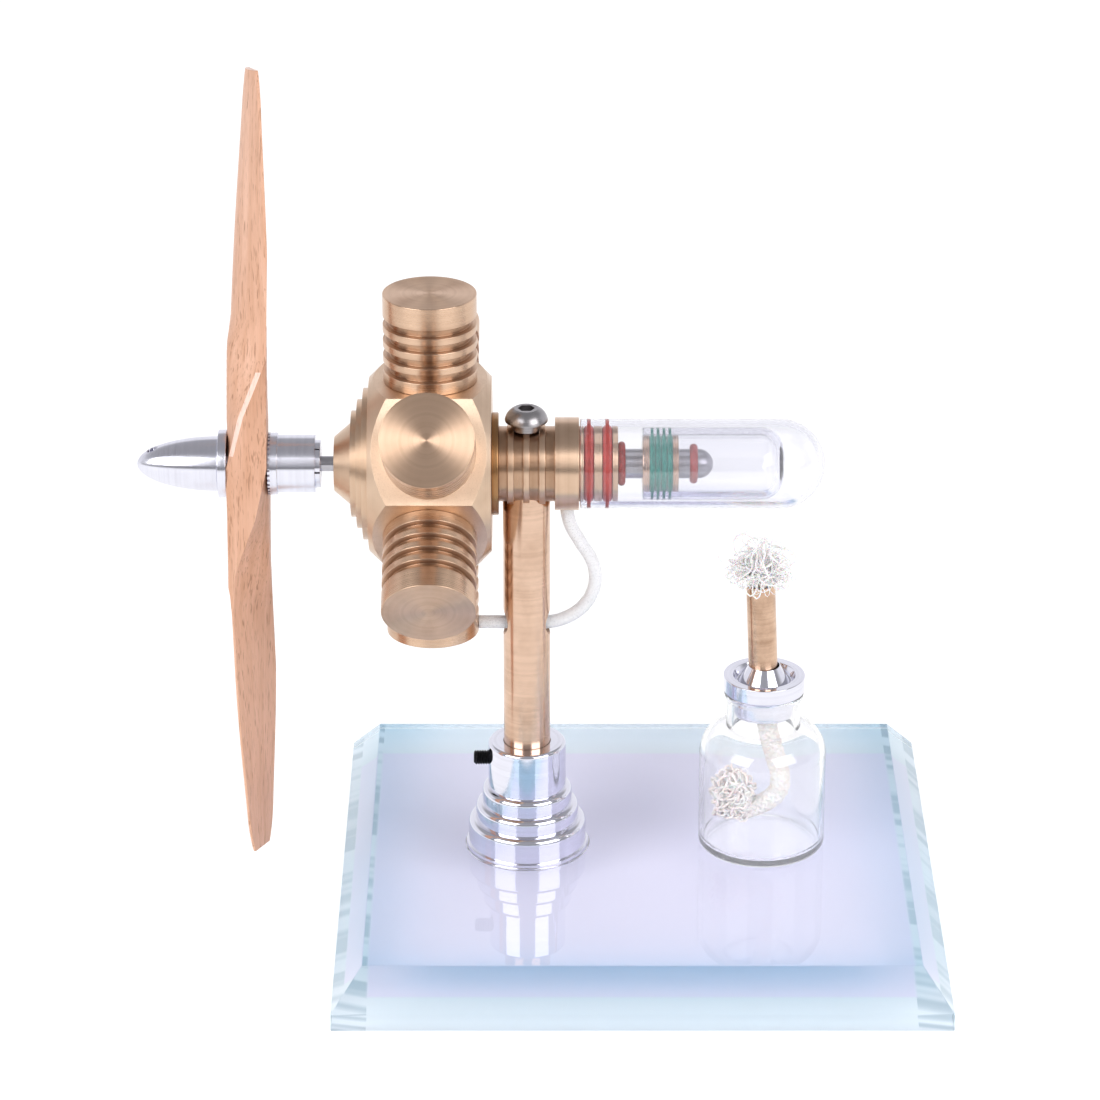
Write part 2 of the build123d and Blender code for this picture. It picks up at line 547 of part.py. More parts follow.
with BuildPart() as bumper_inner:
    with BuildSketch(AXIAL):
        with Locations((BUMPER_IN_X, GUIDE_R + BUMPER_IN_R)):
            Circle(BUMPER_IN_R)
    revolve(axis=SHAFT_AXIS)
save(bumper_inner, "bumper_inner")

with BuildPart() as bumper_outer:
    with BuildSketch(AXIAL):
        with Locations((BUMPER_OUT_X, BUMPER_GROOVE_R + BUMPER_OUT_R)):
            Circle(BUMPER_OUT_R)
    revolve(axis=SHAFT_AXIS)
save(bumper_outer, "bumper_outer")

# Displacer: an inner glass tube whose far end is flat with a rounded corner
DISP_WALL = DISP_R - DISP_BORE_R
with BuildPart() as displacer_glass:
    with BuildSketch(AXIAL):
        with BuildLine():
            outer = Line((DISP_X, DISP_R), (DISP_END - DISP_CORNER, DISP_R))
            outer_end = CenterArc((DISP_END - DISP_CORNER, DISP_R - DISP_CORNER), DISP_CORNER, 90, -90)
            far = Polyline(outer_end @ 1, (DISP_END, 0), (DISP_END - DISP_WALL, 0),
                           (DISP_END - DISP_WALL, DISP_R - DISP_CORNER))
            inner_end = CenterArc(
                (DISP_END - DISP_CORNER, DISP_R - DISP_CORNER), DISP_CORNER - DISP_WALL, 0, 90
            )
            Polyline(inner_end @ 1, (DISP_X, DISP_BORE_R), (DISP_X, DISP_R))
        make_face()
    revolve(axis=SHAFT_AXIS)
save(displacer_glass, "displacer_glass")

bush_outline = [(DISP_X, BUSH_BORE_R), (DISP_X, BUSH_R)]
bush_groove_r = DISP_BORE_R - 2 * GREEN_R
groove_start = GREEN_X - GREEN_PITCH / 2
groove_end = groove_start + GREEN_RINGS * GREEN_PITCH
bush_outline += [(groove_start, BUSH_R), (groove_start, bush_groove_r), (groove_end, bush_groove_r),
                 (groove_end, BUSH_R), (BUSH_END, BUSH_R), (BUSH_END, BUSH_BORE_R)]
with BuildPart() as displacer_plug:
    with BuildSketch(AXIAL):
        with BuildLine():
            Polyline(*bush_outline, close=True)
        make_face()
    revolve(axis=SHAFT_AXIS)
save(displacer_plug, "displacer_plug")

with BuildPart() as displacer_o_rings:
    for i in range(GREEN_RINGS):
        with BuildSketch(AXIAL):
            with Locations((GREEN_X + i * GREEN_PITCH, DISP_BORE_R - GREEN_R)):
                Circle(GREEN_R)
        revolve(axis=SHAFT_AXIS)
save(displacer_o_rings, "displacer_o_rings")

# ---------------------------------------------------------------- propeller and its adapter
with BuildPart() as prop_adapter:
    with BuildSketch(AXIAL):
        with BuildLine():
            Polyline(
                (ADAPTER_STUD_X, 0), (ADAPTER_STUD_X, STUD_R), (PROP_BACK + 0.05, STUD_R),
                (PROP_BACK + 0.05, ADAPTER_FLANGE_R), (ADAPTER_BODY_X, ADAPTER_FLANGE_R),
                (ADAPTER_BODY_X, ADAPTER_BODY_R), (ADAPTER_END_X, ADAPTER_BODY_R), (ADAPTER_END_X, 0),
                close=True,
            )
        make_face()
    revolve(axis=SHAFT_AXIS)
    # Tapered bore that closes the split collet on the shaft
    with BuildSketch(AXIAL):
        with BuildLine():
            Polyline(
                (COLLET_FRONT_X, 0), (COLLET_FRONT_X, COLLET_TIP_R),
                (ADAPTER_END_X, COLLET_LIP_R), (ADAPTER_END_X, 0),
                close=True,
            )
        make_face()
    revolve(axis=SHAFT_AXIS, mode=Mode.SUBTRACT)
    # Radial serrations that bite into the wooden hub
    with BuildSketch(across(PROP_BACK)):
        with PolarLocations(ADAPTER_FLANGE_R, SERRATIONS):
            Rectangle(SERRATION_LENGTH, SERRATION_SIZE)
    extrude(amount=SERRATION_SIZE, mode=Mode.SUBTRACT)
save(prop_adapter, "prop_adapter")

with BuildPart() as collet_sleeve:
    with BuildSketch(AXIAL):
        with BuildLine():
            Polyline(
                (COLLET_FRONT_X, SHAFT_R), (COLLET_FRONT_X, COLLET_TIP_R), (ADAPTER_END_X, COLLET_LIP_R),
                (COLLET_END_X, COLLET_LIP_R), (COLLET_END_X, SHAFT_R),
                close=True,
            )
        make_face()
    revolve(axis=SHAFT_AXIS)
    with BuildSketch(across(COLLET_END_X)):
        for i in range(SLITS):
            Rectangle(3 * COLLET_LIP_R, SLIT_WIDTH, rotation=180 * i / SLITS)
    extrude(amount=-(COLLET_END_X - COLLET_FRONT_X) * SLIT_SHARE, mode=Mode.SUBTRACT)
save(collet_sleeve, "collet_sleeve")

with BuildPart() as prop_washer:
    with BuildSketch(across(SPINNER_BASE + 0.02)):
        Circle(WASHER_R)
        Circle(STUD_R, mode=Mode.SUBTRACT)
    extrude(amount=PROP_FRONT - SPINNER_BASE - 0.07)
    chamfer(prop_washer.edges().sort_by(SortBy.LENGTH)[-2:], length=WASHER_CHAMFER)
save(prop_washer, "prop_washer")

with BuildPart() as spinner_nut:
    with BuildSketch(AXIAL):
        with BuildLine():
            nose = Spline(
                (SPINNER_TIP, 0), *SPINNER_CURVE, (SPINNER_BASE, SPINNER_R), tangents=((0, 1), (1, 0.03))
            )
            Polyline(nose @ 1, (SPINNER_BASE, 0), nose @ 0)
        make_face()
    revolve(axis=SHAFT_AXIS)
    with BuildSketch(across(SPINNER_BASE)):
        Circle(STUD_R)
    extrude(amount=ADAPTER_STUD_X - SPINNER_BASE - 0.5, mode=Mode.SUBTRACT)
    # Cross hole for a tommy bar
    with BuildSketch(Plane(origin=(TOMMY_X, 0, AXIS_Z - SPINNER_R))):
        Circle(TOMMY_R)
    extrude(amount=2 * SPINNER_R, mode=Mode.SUBTRACT)
save(spinner_nut, "spinner_nut")

# Wooden propeller. Each blade is lofted from the hub's middle out to the tip. Near the hub a section
# has tall side walls: the trailing edge's wall lies at the back of the blank, the leading edge's in front.
HUB_T = PROP_BACK - PROP_FRONT


def blade_chord(r):
    """Blade width at radius r: a waist near the hub, widest at WIDEST_R, rounded off at the tip."""
    body = CHORD_MEAN + CHORD_SWELL * math.cos(2 * math.pi * (r - WIDEST_R) / SWELL_SPAN)
    return body * math.sqrt(1 - (max(0.0, r - TIP_START) / TIP_ROUND) ** 2)


def blade_wall(r):
    """Height of a section's side walls: the blank's thickness in the hub, thin from WALL_END outwards."""
    return max(PROP_EDGE, HUB_T * min(1.0, (WALL_END - r) / WALL_SPAN))


def blade_section(r):
    """Corner points of a section, anticlockwise from the trailing edge's back corner."""
    wall = blade_wall(r)
    camber = 0.02 + 3.0 * (1 - math.exp(-((r / 14) ** 2))) * (1 - 0.75 * r / PROP_R)
    twist = min(math.atan2(PROP_PITCH, 2 * math.pi * r), math.radians(ROOT_TWIST * r / ROOT_SPAN))
    half = blade_chord(r) / 2
    crest = (0.1 * half, wall / 2 + camber)
    corners = ((-half, -wall / 2), (half, -wall / 2), (half, wall / 2), crest, (-half, wall / 2))
    cos_t, sin_t = math.cos(twist), math.sin(twist)
    return [(s * cos_t - n * sin_t, s * sin_t + n * cos_t) for s, n in corners]


def blade_plane(r, turn):
    """Plane square to a blade at radius r: local x towards its leading edge, local y forwards."""
    angle = math.radians(PROP_TURN + turn)
    span = Vector(0, math.sin(angle), math.cos(angle))
    leading = Vector(0, math.cos(angle), -math.sin(angle))
    centre = Vector((PROP_FRONT + PROP_BACK) / 2 + BLADE_LEAN * r / PROP_R, 0, AXIS_Z)
    return Plane(origin=centre + span * r, x_dir=leading, z_dir=span)


BLADE_STATIONS = (0, 4, 8, 10, 12, 16, 20, 25, 30, 38, 48, 58, 66, 70, 73, 75, PROP_R)
with BuildPart() as propeller:
    for turn in (0, 180):
        for r in BLADE_STATIONS:
            with BuildSketch(blade_plane(r, turn)):
                back_te, back_le, front_le, crest, front_te = blade_section(r)
                with BuildLine():
                    Polyline(front_te, back_te, back_le, front_le)
                    ThreePointArc(front_le, crest, front_te)
                make_face()
        loft()
    # The blank's flat front and back faces, which lean back with the blades, and the stud's hole
    with BuildSketch(AXIAL):
        with BuildLine():
            Polyline(
                (PROP_FRONT, STUD_R + 0.02), (PROP_FRONT, PROP_R + 1), (PROP_BACK + BLADE_LEAN, PROP_R + 1),
                (PROP_BACK, LEAN_START), (PROP_BACK, STUD_R + 0.02),
                close=True,
            )
        make_face()
    revolve(axis=SHAFT_AXIS, mode=Mode.INTERSECT)
save(propeller, "propeller")

# ---------------------------------------------------------------- spirit burner
with BuildPart() as burner_bottle:
    with BuildSketch(BURNER_PLANE) as bottle_profile:
        shoulder_centre = (BOTTLE_R - SHOULDER_R, SHOULDER_Z)
        lean_out = math.acos((NECK_OUT_R - shoulder_centre[0]) / SHOULDER_R)
        inner_offset = BOTTLE_NECK_BORE_R - shoulder_centre[0] + 0.5
        lean_in = math.acos(inner_offset / (SHOULDER_R - BOTTLE_WALL))
        with BuildLine():
            base = Polyline((0, BOTTLE_BASE), (BOTTLE_R, BOTTLE_BASE), (BOTTLE_R, SHOULDER_Z))
            shoulder = CenterArc(shoulder_centre, SHOULDER_R, 0, math.degrees(lean_out))
            lip = Polyline(
                shoulder @ 1, (NECK_OUT_R, BOTTLE_TOP - LIP_H), (LIP_R, BOTTLE_TOP - LIP_H + 0.5),
                (LIP_R, BOTTLE_TOP), (BOTTLE_NECK_BORE_R, BOTTLE_TOP),
            )
            inner_shoulder = CenterArc(
                shoulder_centre, SHOULDER_R - BOTTLE_WALL, math.degrees(lean_in), -math.degrees(lean_in)
            )
            Line(lip @ 1, inner_shoulder @ 0)
            Polyline(
                inner_shoulder @ 1, (BOTTLE_R - BOTTLE_WALL, BOTTLE_BASE + FLOOR_EDGE_T),
                (0, BOTTLE_BASE + FLOOR_CENTRE_T), (0, BOTTLE_BASE),
            )
        make_face()
        fillet(bottle_profile.vertices().sort_by_distance((BOTTLE_R, BOTTLE_BASE))[0], radius=FOOT_ROUND)
    revolve(axis=BURNER_AXIS)
save(burner_bottle, "burner_bottle")

# The wick tube stands a little askew in the stopper; this plane's z axis runs up the tube
lean = math.radians(WICK_LEAN)
TUBE_PLANE = Plane(
    origin=(BURNER_X, BURNER_Y, STOPPER_PLUG_Z + 4), x_dir=(math.cos(lean), 0, math.sin(lean)),
    z_dir=(-math.sin(lean), 0, math.cos(lean)),
)


def on_tube_axis(z):
    """Point of the wick tube's axis at height z."""
    rise = (z - TUBE_PLANE.origin.Z) / math.cos(lean)
    return TUBE_PLANE.origin + TUBE_PLANE.z_dir * rise


with BuildPart() as stopper:
    with BuildSketch(BURNER_PLANE):
        with BuildLine():
            Polyline(
                (0, STOPPER_PLUG_Z), (STOPPER_PLUG_R - 0.3, STOPPER_PLUG_Z),
                (STOPPER_PLUG_R, STOPPER_PLUG_Z + 1), (STOPPER_PLUG_R, BOTTLE_TOP + 0.05),
                (STOPPER_R, BOTTLE_TOP + 0.05), (STOPPER_R, STOPPER_TOP - 0.3),
                (STOPPER_R - 0.3, STOPPER_TOP),
                (DISH_R, STOPPER_TOP), (DISH_FLOOR_R, DISH_Z), (BOSS_FOOT_R, DISH_Z),
                (BOSS_TOP_R, BOSS_TOP), (0, BOSS_TOP),
                close=True,
            )
        make_face()
    revolve(axis=BURNER_AXIS)
    with BuildSketch(TUBE_PLANE.offset(-8)):
        Circle(WICK_TUBE_R)
    extrude(amount=18, mode=Mode.SUBTRACT)
save(stopper, "stopper")

with BuildPart() as wick_tube:
    with BuildSketch(TUBE_PLANE.offset(WICK_TUBE_Z[0] - TUBE_PLANE.origin.Z)):
        Circle(WICK_TUBE_R)
        Circle(WICK_TUBE_BORE_R, mode=Mode.SUBTRACT)
    extrude(amount=WICK_TUBE_Z[1] - WICK_TUBE_Z[0])
save(wick_tube, "wick_tube")

# Cotton wick: down the tube, with a bend at the bottom of the bottle
wick_points = [on_tube_axis(WICK_TOP), on_tube_axis(STOPPER_PLUG_Z)]
wick_points += [Vector(x, BURNER_Y, z) for x, z in WICK_ROUTE]
wick_radii = corner_radii(wick_points)
print("wick corner radii", [round(r, 1) for r in wick_radii])
with BuildPart() as wick:
    with BuildLine() as wick_path:
        FilletPolyline(*wick_points, radius=wick_radii)
    with BuildSketch(Plane(origin=wick_points[0], x_dir=TUBE_PLANE.x_dir, z_dir=-TUBE_PLANE.z_dir)):
        Circle(WICK_R)
    sweep()
wick_length = wick_path.wires()[0].length
print("wick length", round(wick_length, 1))
print("wick volume", round(wick.part.volume, 2), "expected", round(math.pi * WICK_R ** 2 * wick_length, 2))
save(wick, "wick")

# Frayed tuft above the tube and the tangled end in the bottle, each as its outer shape
for name, centre, radius, half_height in (
    ("wick_tuft", (TUFT_X, BURNER_Y, TUFT_Z), TUFT_R, TUFT_HALF_HEIGHT),
    ("wick_bunch", (BUNCH_X, BURNER_Y, BUNCH_Z), BUNCH_R, BUNCH_HALF_HEIGHT),
):
    with BuildPart() as fluff:
        with BuildSketch(Plane(origin=centre, x_dir=(1, 0, 0), z_dir=(0, -1, 0))):
            Ellipse(radius, half_height)
            with Locations((-radius, 0)):
                Rectangle(2 * radius, 2 * half_height, mode=Mode.SUBTRACT)
        revolve(axis=Axis(centre, (0, 0, 1)))
    save(fluff, name)
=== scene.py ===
"""Looks for the hot-air engine: turned brass and aluminium, glass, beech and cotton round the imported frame.

The row frame is in metres, with +Z up and its origin where the axis of the brass column meets the table.
Sizes below are in millimetres, and MM turns them into metres.
"""

import itertools
import json
import random
from math import acos, atan2, cos, degrees, exp, pi, radians, sin, sqrt, tan

import bmesh
import bpy
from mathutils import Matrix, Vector


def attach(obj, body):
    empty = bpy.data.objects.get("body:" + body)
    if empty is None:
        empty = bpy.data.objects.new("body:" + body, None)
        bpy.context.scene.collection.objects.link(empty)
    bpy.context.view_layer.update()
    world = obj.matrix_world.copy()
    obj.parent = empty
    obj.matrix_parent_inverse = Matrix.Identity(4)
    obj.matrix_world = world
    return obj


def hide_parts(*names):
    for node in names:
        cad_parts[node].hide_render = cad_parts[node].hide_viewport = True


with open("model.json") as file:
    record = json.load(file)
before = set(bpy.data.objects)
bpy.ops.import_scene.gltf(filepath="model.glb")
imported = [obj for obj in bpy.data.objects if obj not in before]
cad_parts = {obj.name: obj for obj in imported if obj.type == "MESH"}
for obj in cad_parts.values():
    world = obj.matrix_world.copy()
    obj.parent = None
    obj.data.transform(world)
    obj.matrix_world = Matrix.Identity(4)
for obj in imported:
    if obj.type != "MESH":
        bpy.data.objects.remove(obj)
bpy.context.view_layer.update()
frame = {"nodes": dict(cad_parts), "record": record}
NODES = frame["nodes"]
BODY_OF = {node: body for body, nodes in frame["record"]["behaviour"]["bodies"].items() for node in nodes}
MM = 0.001

# -------- sizes shared with the CAD model, in mm
AXIS_Z = 93.5
SHAFT_AXIS = (1, 0, 0)
SHAFT = ((0, 0, AXIS_Z), SHAFT_AXIS)    # a point on the crankshaft's axis, and its direction
PLATE_X, PLATE_Y, PLATE_T = 119.0, 116.0, 11.0
PLATE_CENTRE = (22.2, 1.5)
HUB_R, HUB_BORE_R, HUB_TOP = 7.7, 4.68, 33.9
PEDESTAL_STEPS = ((8.9, 24.2), (10.2, 20.6), (11.7, 17.1))    # radius, top
FOOT_R, FOOT_BASE, FOOT_TOP = 12.1, 11.05, 12.0
SET_SCREW_R, SET_SCREW_Z, SET_SCREW_OUT, SET_SCREW_IN = 1.5, 30.0, -10.6, -4.75
BEVEL_IN, BEVEL_DROP = 5.9, 7.4
CASE_APOTHEM = 17.7
CYL_X, CYL_R, CYL_END = -18.4, 9.0, 35.3
HEAD_BAND, GROOVES, GROOVE_W, FIN_W, GROOVE_DEPTH = 4.4, 4, 1.65, 1.4, 1.3
SPIGOT_R, SPIGOT_END, BORE_R, BORE_FLOOR, BORE_MOUTH = 6.8, 15.1, 5.3, 34.5, 14.0
CYL_ANGLES = {
    "cylinder_1": 90, "cylinder_2": 30, "cylinder_3": -30,
    "cylinder_4": -150, "cylinder_5": 150, "power_cylinder": -90,
}
PROP_FRONT, PROP_BACK, PROP_R, PROP_PITCH, PROP_TURN = -57.7, -49.9, 76.2, 127.0, 13.3
BLADE_LEAN, LEAN_START = 1.65, 20.0
CHORD_MEAN, CHORD_SWELL, WIDEST_R, SWELL_SPAN = 14.0, 1.9, 50.0, 64.0
TIP_START, TIP_ROUND = 69.0, 10.0
PROP_EDGE, WALL_END, WALL_SPAN = 0.6, 30.0, 20.0
ROOT_TWIST, ROOT_SPAN = 37.0, 18.0
SPINNER_BASE, SPINNER_TIP, SPINNER_R = -59.5, -75.3, 5.35
SPINNER_BORE_R, SPINNER_BORE_END = 2.55, -66.4
SPINNER_HOLE_X, SPINNER_HOLE_R = -72.3, 1.05
BURNER = (46.9, 0.5)
BURNER_FOOT = (*BURNER, 0)
BOTTLE_BASE = PLATE_T + 0.05
TUBE_LEAN, TUBE_PIVOT_Z = radians(2.6), 44.0
TUBE_AXIS = (-sin(TUBE_LEAN), 0, cos(TUBE_LEAN))
TUFT_CENTRE = Vector((45.6, 0.5, 72.1))
BUNCH_CENTRE, BUNCH_R, BUNCH_HALF_HEIGHT = Vector((41.0, 0.5, 21.7)), 4.0, 5.3
HOSE_R, WICK_R = 1.3, 1.9
HOSE_ROUTE = (
    (7.7, 86.4), (7.7, 81.9), (10.7, 76.5), (13.2, 72.6), (13.6, 67.4),
    (11.1, 62.7), (6.5, 59.9), (0.6, 59.45), (-4.6, 59.8), (-9.4, 59.8),
)
WICK_ROUTE = ((45.783, 68.6), (47.082, 40.0), (48.9, 31.6), (51.3, 23.6), (47.6, 19.4), (42.8, 18.0))


def link(thing):
    """Puts a new object in the scene."""
    bpy.context.scene.collection.objects.link(thing)
    return thing


# -------- camera
def make_camera():
    """Camera 24 degrees above the horizon, square to the crankshaft."""
    data = bpy.data.cameras.new("Camera")
    data.lens, data.sensor_width = 149.6, 36.0    # mm
    data.clip_start, data.clip_end = 0.05, 30.0
    camera = link(bpy.data.objects.new("Camera", data))
    camera.location = (0.00456, -0.81394, 0.43945)
    camera.rotation_euler = (radians(65.89), 0, 0)
    bpy.context.scene.camera = camera


make_camera()


# -------- cords
def route_curve(name, route, y, radius):
    """One open NURBS spline through a cord's route points, given as (x, z) at one y."""
    data = bpy.data.curves.new(name, "CURVE")
    data.dimensions = "3D"
    spline = data.splines.new("NURBS")
    spline.points.add(len(route) - 1)
    for point, (x, z) in zip(spline.points, route):
        point.co = (x * MM, y * MM, z * MM, 1)
    spline.order_u = 3
    spline.use_endpoint_u = True
    spline.resolution_u = 24
    data.bevel_depth, data.bevel_resolution = radius * MM, 8
    data.use_fill_caps = True
    return link(bpy.data.objects.new(name, data))


def centreline(curve):
    """Points of a cord's own spline in mm, read from a copy of the curve that has no bevel."""
    bare = link(bpy.data.objects.new("Bare", curve.data.copy()))
    bare.data.bevel_depth = 0
    bpy.context.view_layer.update()
    mesh = bpy.data.meshes.new_from_object(bare)
    points = [v.co / MM for v in mesh.vertices]
    bpy.data.meshes.remove(mesh)
    bpy.data.objects.remove(bare)
    return points


hose = route_curve("hose", HOSE_ROUTE, 0, HOSE_R)
wick_core = route_curve("wick_core", WICK_ROUTE, BURNER[1], WICK_R - 0.45)


# -------- node trees
class Graph:
    """A material's node tree, with short calls for the nodes that recur."""

    def __init__(self, name):
        self.material = bpy.data.materials.new(name)
        self.material.use_nodes = True
        self.tree = self.material.node_tree
        self.shader = self.tree.nodes["Principled BSDF"]
        self.output = self.tree.nodes["Material Output"]
        self.place = self.node("ShaderNodeTexCoord").outputs["Object"]
        self.normal = self.node("ShaderNodeNewGeometry").outputs["Normal"]

    def put(self, socket, value):
        if isinstance(value, bpy.types.NodeSocket):
            self.tree.links.new(value, socket)
        else:
            socket.default_value = value

    def node(self, kind, inputs=None, **settings):
        made = self.tree.nodes.new(kind)
        for key, value in settings.items():
            setattr(made, key, value)
        for key, value in (inputs or {}).items():
            self.put(made.inputs[key], value)
        return made

    def math(self, operation, a, b=0.0, clamp=False):
        return self.node("ShaderNodeMath", {0: a, 1: b}, operation=operation, use_clamp=clamp).outputs[0]

    def vector(self, operation, a, b=None):
        """Vector maths; b is a second vector, or the number that SCALE multiplies by."""
        made = self.node("ShaderNodeVectorMath", {0: a}, operation=operation)
        if b is not None:
            self.put(made.inputs[3 if operation == "SCALE" else 1], b)
        return made.outputs[1 if operation in ("DOT_PRODUCT", "LENGTH") else 0]

    def noise(self, where, scale, detail=3.0, roughness=0.55):
        """Noise from 0 to 1, with its scale in features per millimetre."""
        inputs = {"Vector": where, "Scale": scale / MM, "Detail": detail, "Roughness": roughness}
        return self.node("ShaderNodeTexNoise", inputs).outputs["Fac"]

    def lines(self, along, scale, detail=4.0):
        """One-dimensional noise, for marks that only vary along one length in metres."""
        inputs = {"W": along, "Scale": scale / MM, "Detail": detail, "Roughness": 0.7}
        return self.node("ShaderNodeTexNoise", inputs, noise_dimensions="1D").outputs["Fac"]

    def between(self, value, low, high, to_low=0.0, to_high=1.0):
        """A value mapped from one range to another, and held inside it."""
        made = self.node(
            "ShaderNodeMapRange",
            {"Value": value, "From Min": low, "From Max": high, "To Min": to_low, "To Max": to_high},
        )
        return made.outputs["Result"]

    def mix(self, share, a, b):
        """Colour between a and b."""
        made = self.node("ShaderNodeMix", data_type="RGBA")
        self.put(made.inputs[0], share)
        for socket, colour in ((made.inputs[6], a), (made.inputs[7], b)):
            self.put(socket, colour if isinstance(colour, bpy.types.NodeSocket) else (*colour, 1))
        return made.outputs[2]

    def bump(self, height, depth, under=None):
        """Normal for a height from 0 to 1 that is depth millimetres deep."""
        inputs = {"Height": height, "Distance": depth * MM, "Strength": 1.0}
        if under is not None:
            inputs["Normal"] = under
        return self.node("ShaderNodeBump", inputs).outputs["Normal"]

    def rounding(self, radius):
        """Normal that rounds sharp edges off by a radius in millimetres."""
        return self.node("ShaderNodeBevel", {"Radius": radius * MM}, samples=4).outputs["Normal"]

    def to_world(self, vector):
        made = self.node(
            "ShaderNodeVectorTransform", {"Vector": vector},
            vector_type="VECTOR", convert_from="OBJECT", convert_to="WORLD",
        )
        return made.outputs[0]

    def set(self, **values):
        """Sets the shader's inputs. An underscore stands for a space; a base colour may be three numbers."""
        for key, value in values.items():
            if key == "Base_Color" and isinstance(value, tuple):
                value = (*value, 1)
            self.put(self.shader.inputs[key.replace("_", " ")], value)


def radial(angle):
    """Direction out from the crankshaft, by an angle in degrees above the side towards the viewer."""
    return (0, -cos(radians(angle)), sin(radians(angle)))


def turned_parts(graph, centre, axis):
    """(distance along the axis, distance from it, direction round it) of the shaded point, in metres."""
    offset = graph.vector("SUBTRACT", graph.place, tuple(c * MM for c in centre))
    along = graph.vector("DOT_PRODUCT", offset, tuple(axis))
    outward = graph.vector("SUBTRACT", offset, graph.vector("SCALE", tuple(axis), along))
    radius = graph.vector("LENGTH", outward)
    around = graph.vector("NORMALIZE", graph.vector("CROSS_PRODUCT", tuple(axis), outward))
    return along, radius, around


def turned(
    name, colour, dark, centre, axis, roughness=0.26, marks=0.006, spread=0.6, edges=0.1, stains=0.35,
    groove_shade=None, side_share=1.0,
):
    """Metal from a lathe: fine rings round its axis, on its side and its end faces alike.

    The grooves, where given as (radius, start, stop) in mm, are painted darker: between start and stop along
    the axis, the metal nearer to the axis than the radius takes painted shade. Side_share is the roughness of
    the side as a share of the end faces'.
    """
    g = Graph(name)
    along, radius, around = turned_parts(g, centre, Vector(axis).normalized())
    track = g.math("ADD", along, radius)
    fine, broad = g.lines(track, 6.0), g.lines(track, 0.9, 2.0)
    patches = g.noise(g.place, 0.16, 4.0)
    specks = g.between(g.noise(g.place, 2.2, 2.0), 0.68, 0.76)
    shade = g.math("MULTIPLY", g.between(patches, 0.42, 0.75), stains)
    shade = g.math("ADD", shade, g.math("MULTIPLY", specks, 0.18))
    shade = g.math("ADD", shade, g.between(broad, 0.35, 0.75, 0.0, 0.22), clamp=True)
    # Painted shade: the groove floors are painted darker, up to 0.7 of the way to the dark colour.
    if groove_shade:
        limit, start, stop = groove_shade
        past, before = g.math("GREATER_THAN", along, start * MM), g.math("LESS_THAN", along, stop * MM)
        inside = g.math("MULTIPLY", past, before)
        low = g.between(radius, (limit - 0.4) * MM, limit * MM, 0.7, 0.0)
        shade = g.math("ADD", shade, g.math("MULTIPLY", inside, low), clamp=True)
    rings = g.math("ADD", g.math("MULTIPLY", fine, 0.65), g.math("MULTIPLY", broad, 0.35))
    under = g.rounding(edges) if edges else None
    world_axis = g.to_world(tuple(Vector(axis).normalized()))
    facing = g.math("ABSOLUTE", g.vector("DOT_PRODUCT", g.normal, world_axis))
    share = g.between(facing, 0.4, 0.8, side_share, 1.0)
    worn = g.math("ADD", fine, g.math("MULTIPLY", patches, 0.5))
    across = g.vector("CROSS_PRODUCT", g.normal, g.to_world(around))
    g.set(
        Base_Color=g.mix(shade, colour, dark), Metallic=1.0, Anisotropic=spread,
        Roughness=g.math("MULTIPLY", share, g.between(worn, 0.4, 1.1, roughness * 0.75, roughness * 1.35)),
        Normal=g.bump(rings, marks, under), Tangent=across,
    )
    return g.material


def drawn(name, colour, dark, axis, roughness=0.28, marks=0.003, spread=0.5, edges=0.08):
    """Drawn rod or tube: fine scratches that run along its axis."""
    g = Graph(name)
    squeeze = tuple(0.04 if abs(a) > 0.9 else 1.0 for a in axis)
    stretched = g.vector("MULTIPLY", g.place, squeeze)
    scratches = g.noise(stretched, 5.0, 4.0, 0.7)
    patches = g.noise(g.place, 0.12, 4.0)
    spots = g.between(g.noise(g.place, 1.6, 2.0), 0.66, 0.76)
    shade = g.between(patches, 0.4, 0.75, 0.0, 0.45)
    shade = g.math("ADD", shade, g.math("MULTIPLY", spots, 0.25), clamp=True)
    across = g.vector("CROSS_PRODUCT", g.to_world(tuple(axis)), g.normal)
    g.set(
        Base_Color=g.mix(shade, colour, dark), Metallic=1.0, Anisotropic=spread,
        Roughness=g.between(scratches, 0.3, 0.7, roughness * 0.7, roughness * 1.35),
        Normal=g.bump(scratches, marks, g.rounding(edges)), Tangent=across,
    )
    return g.material


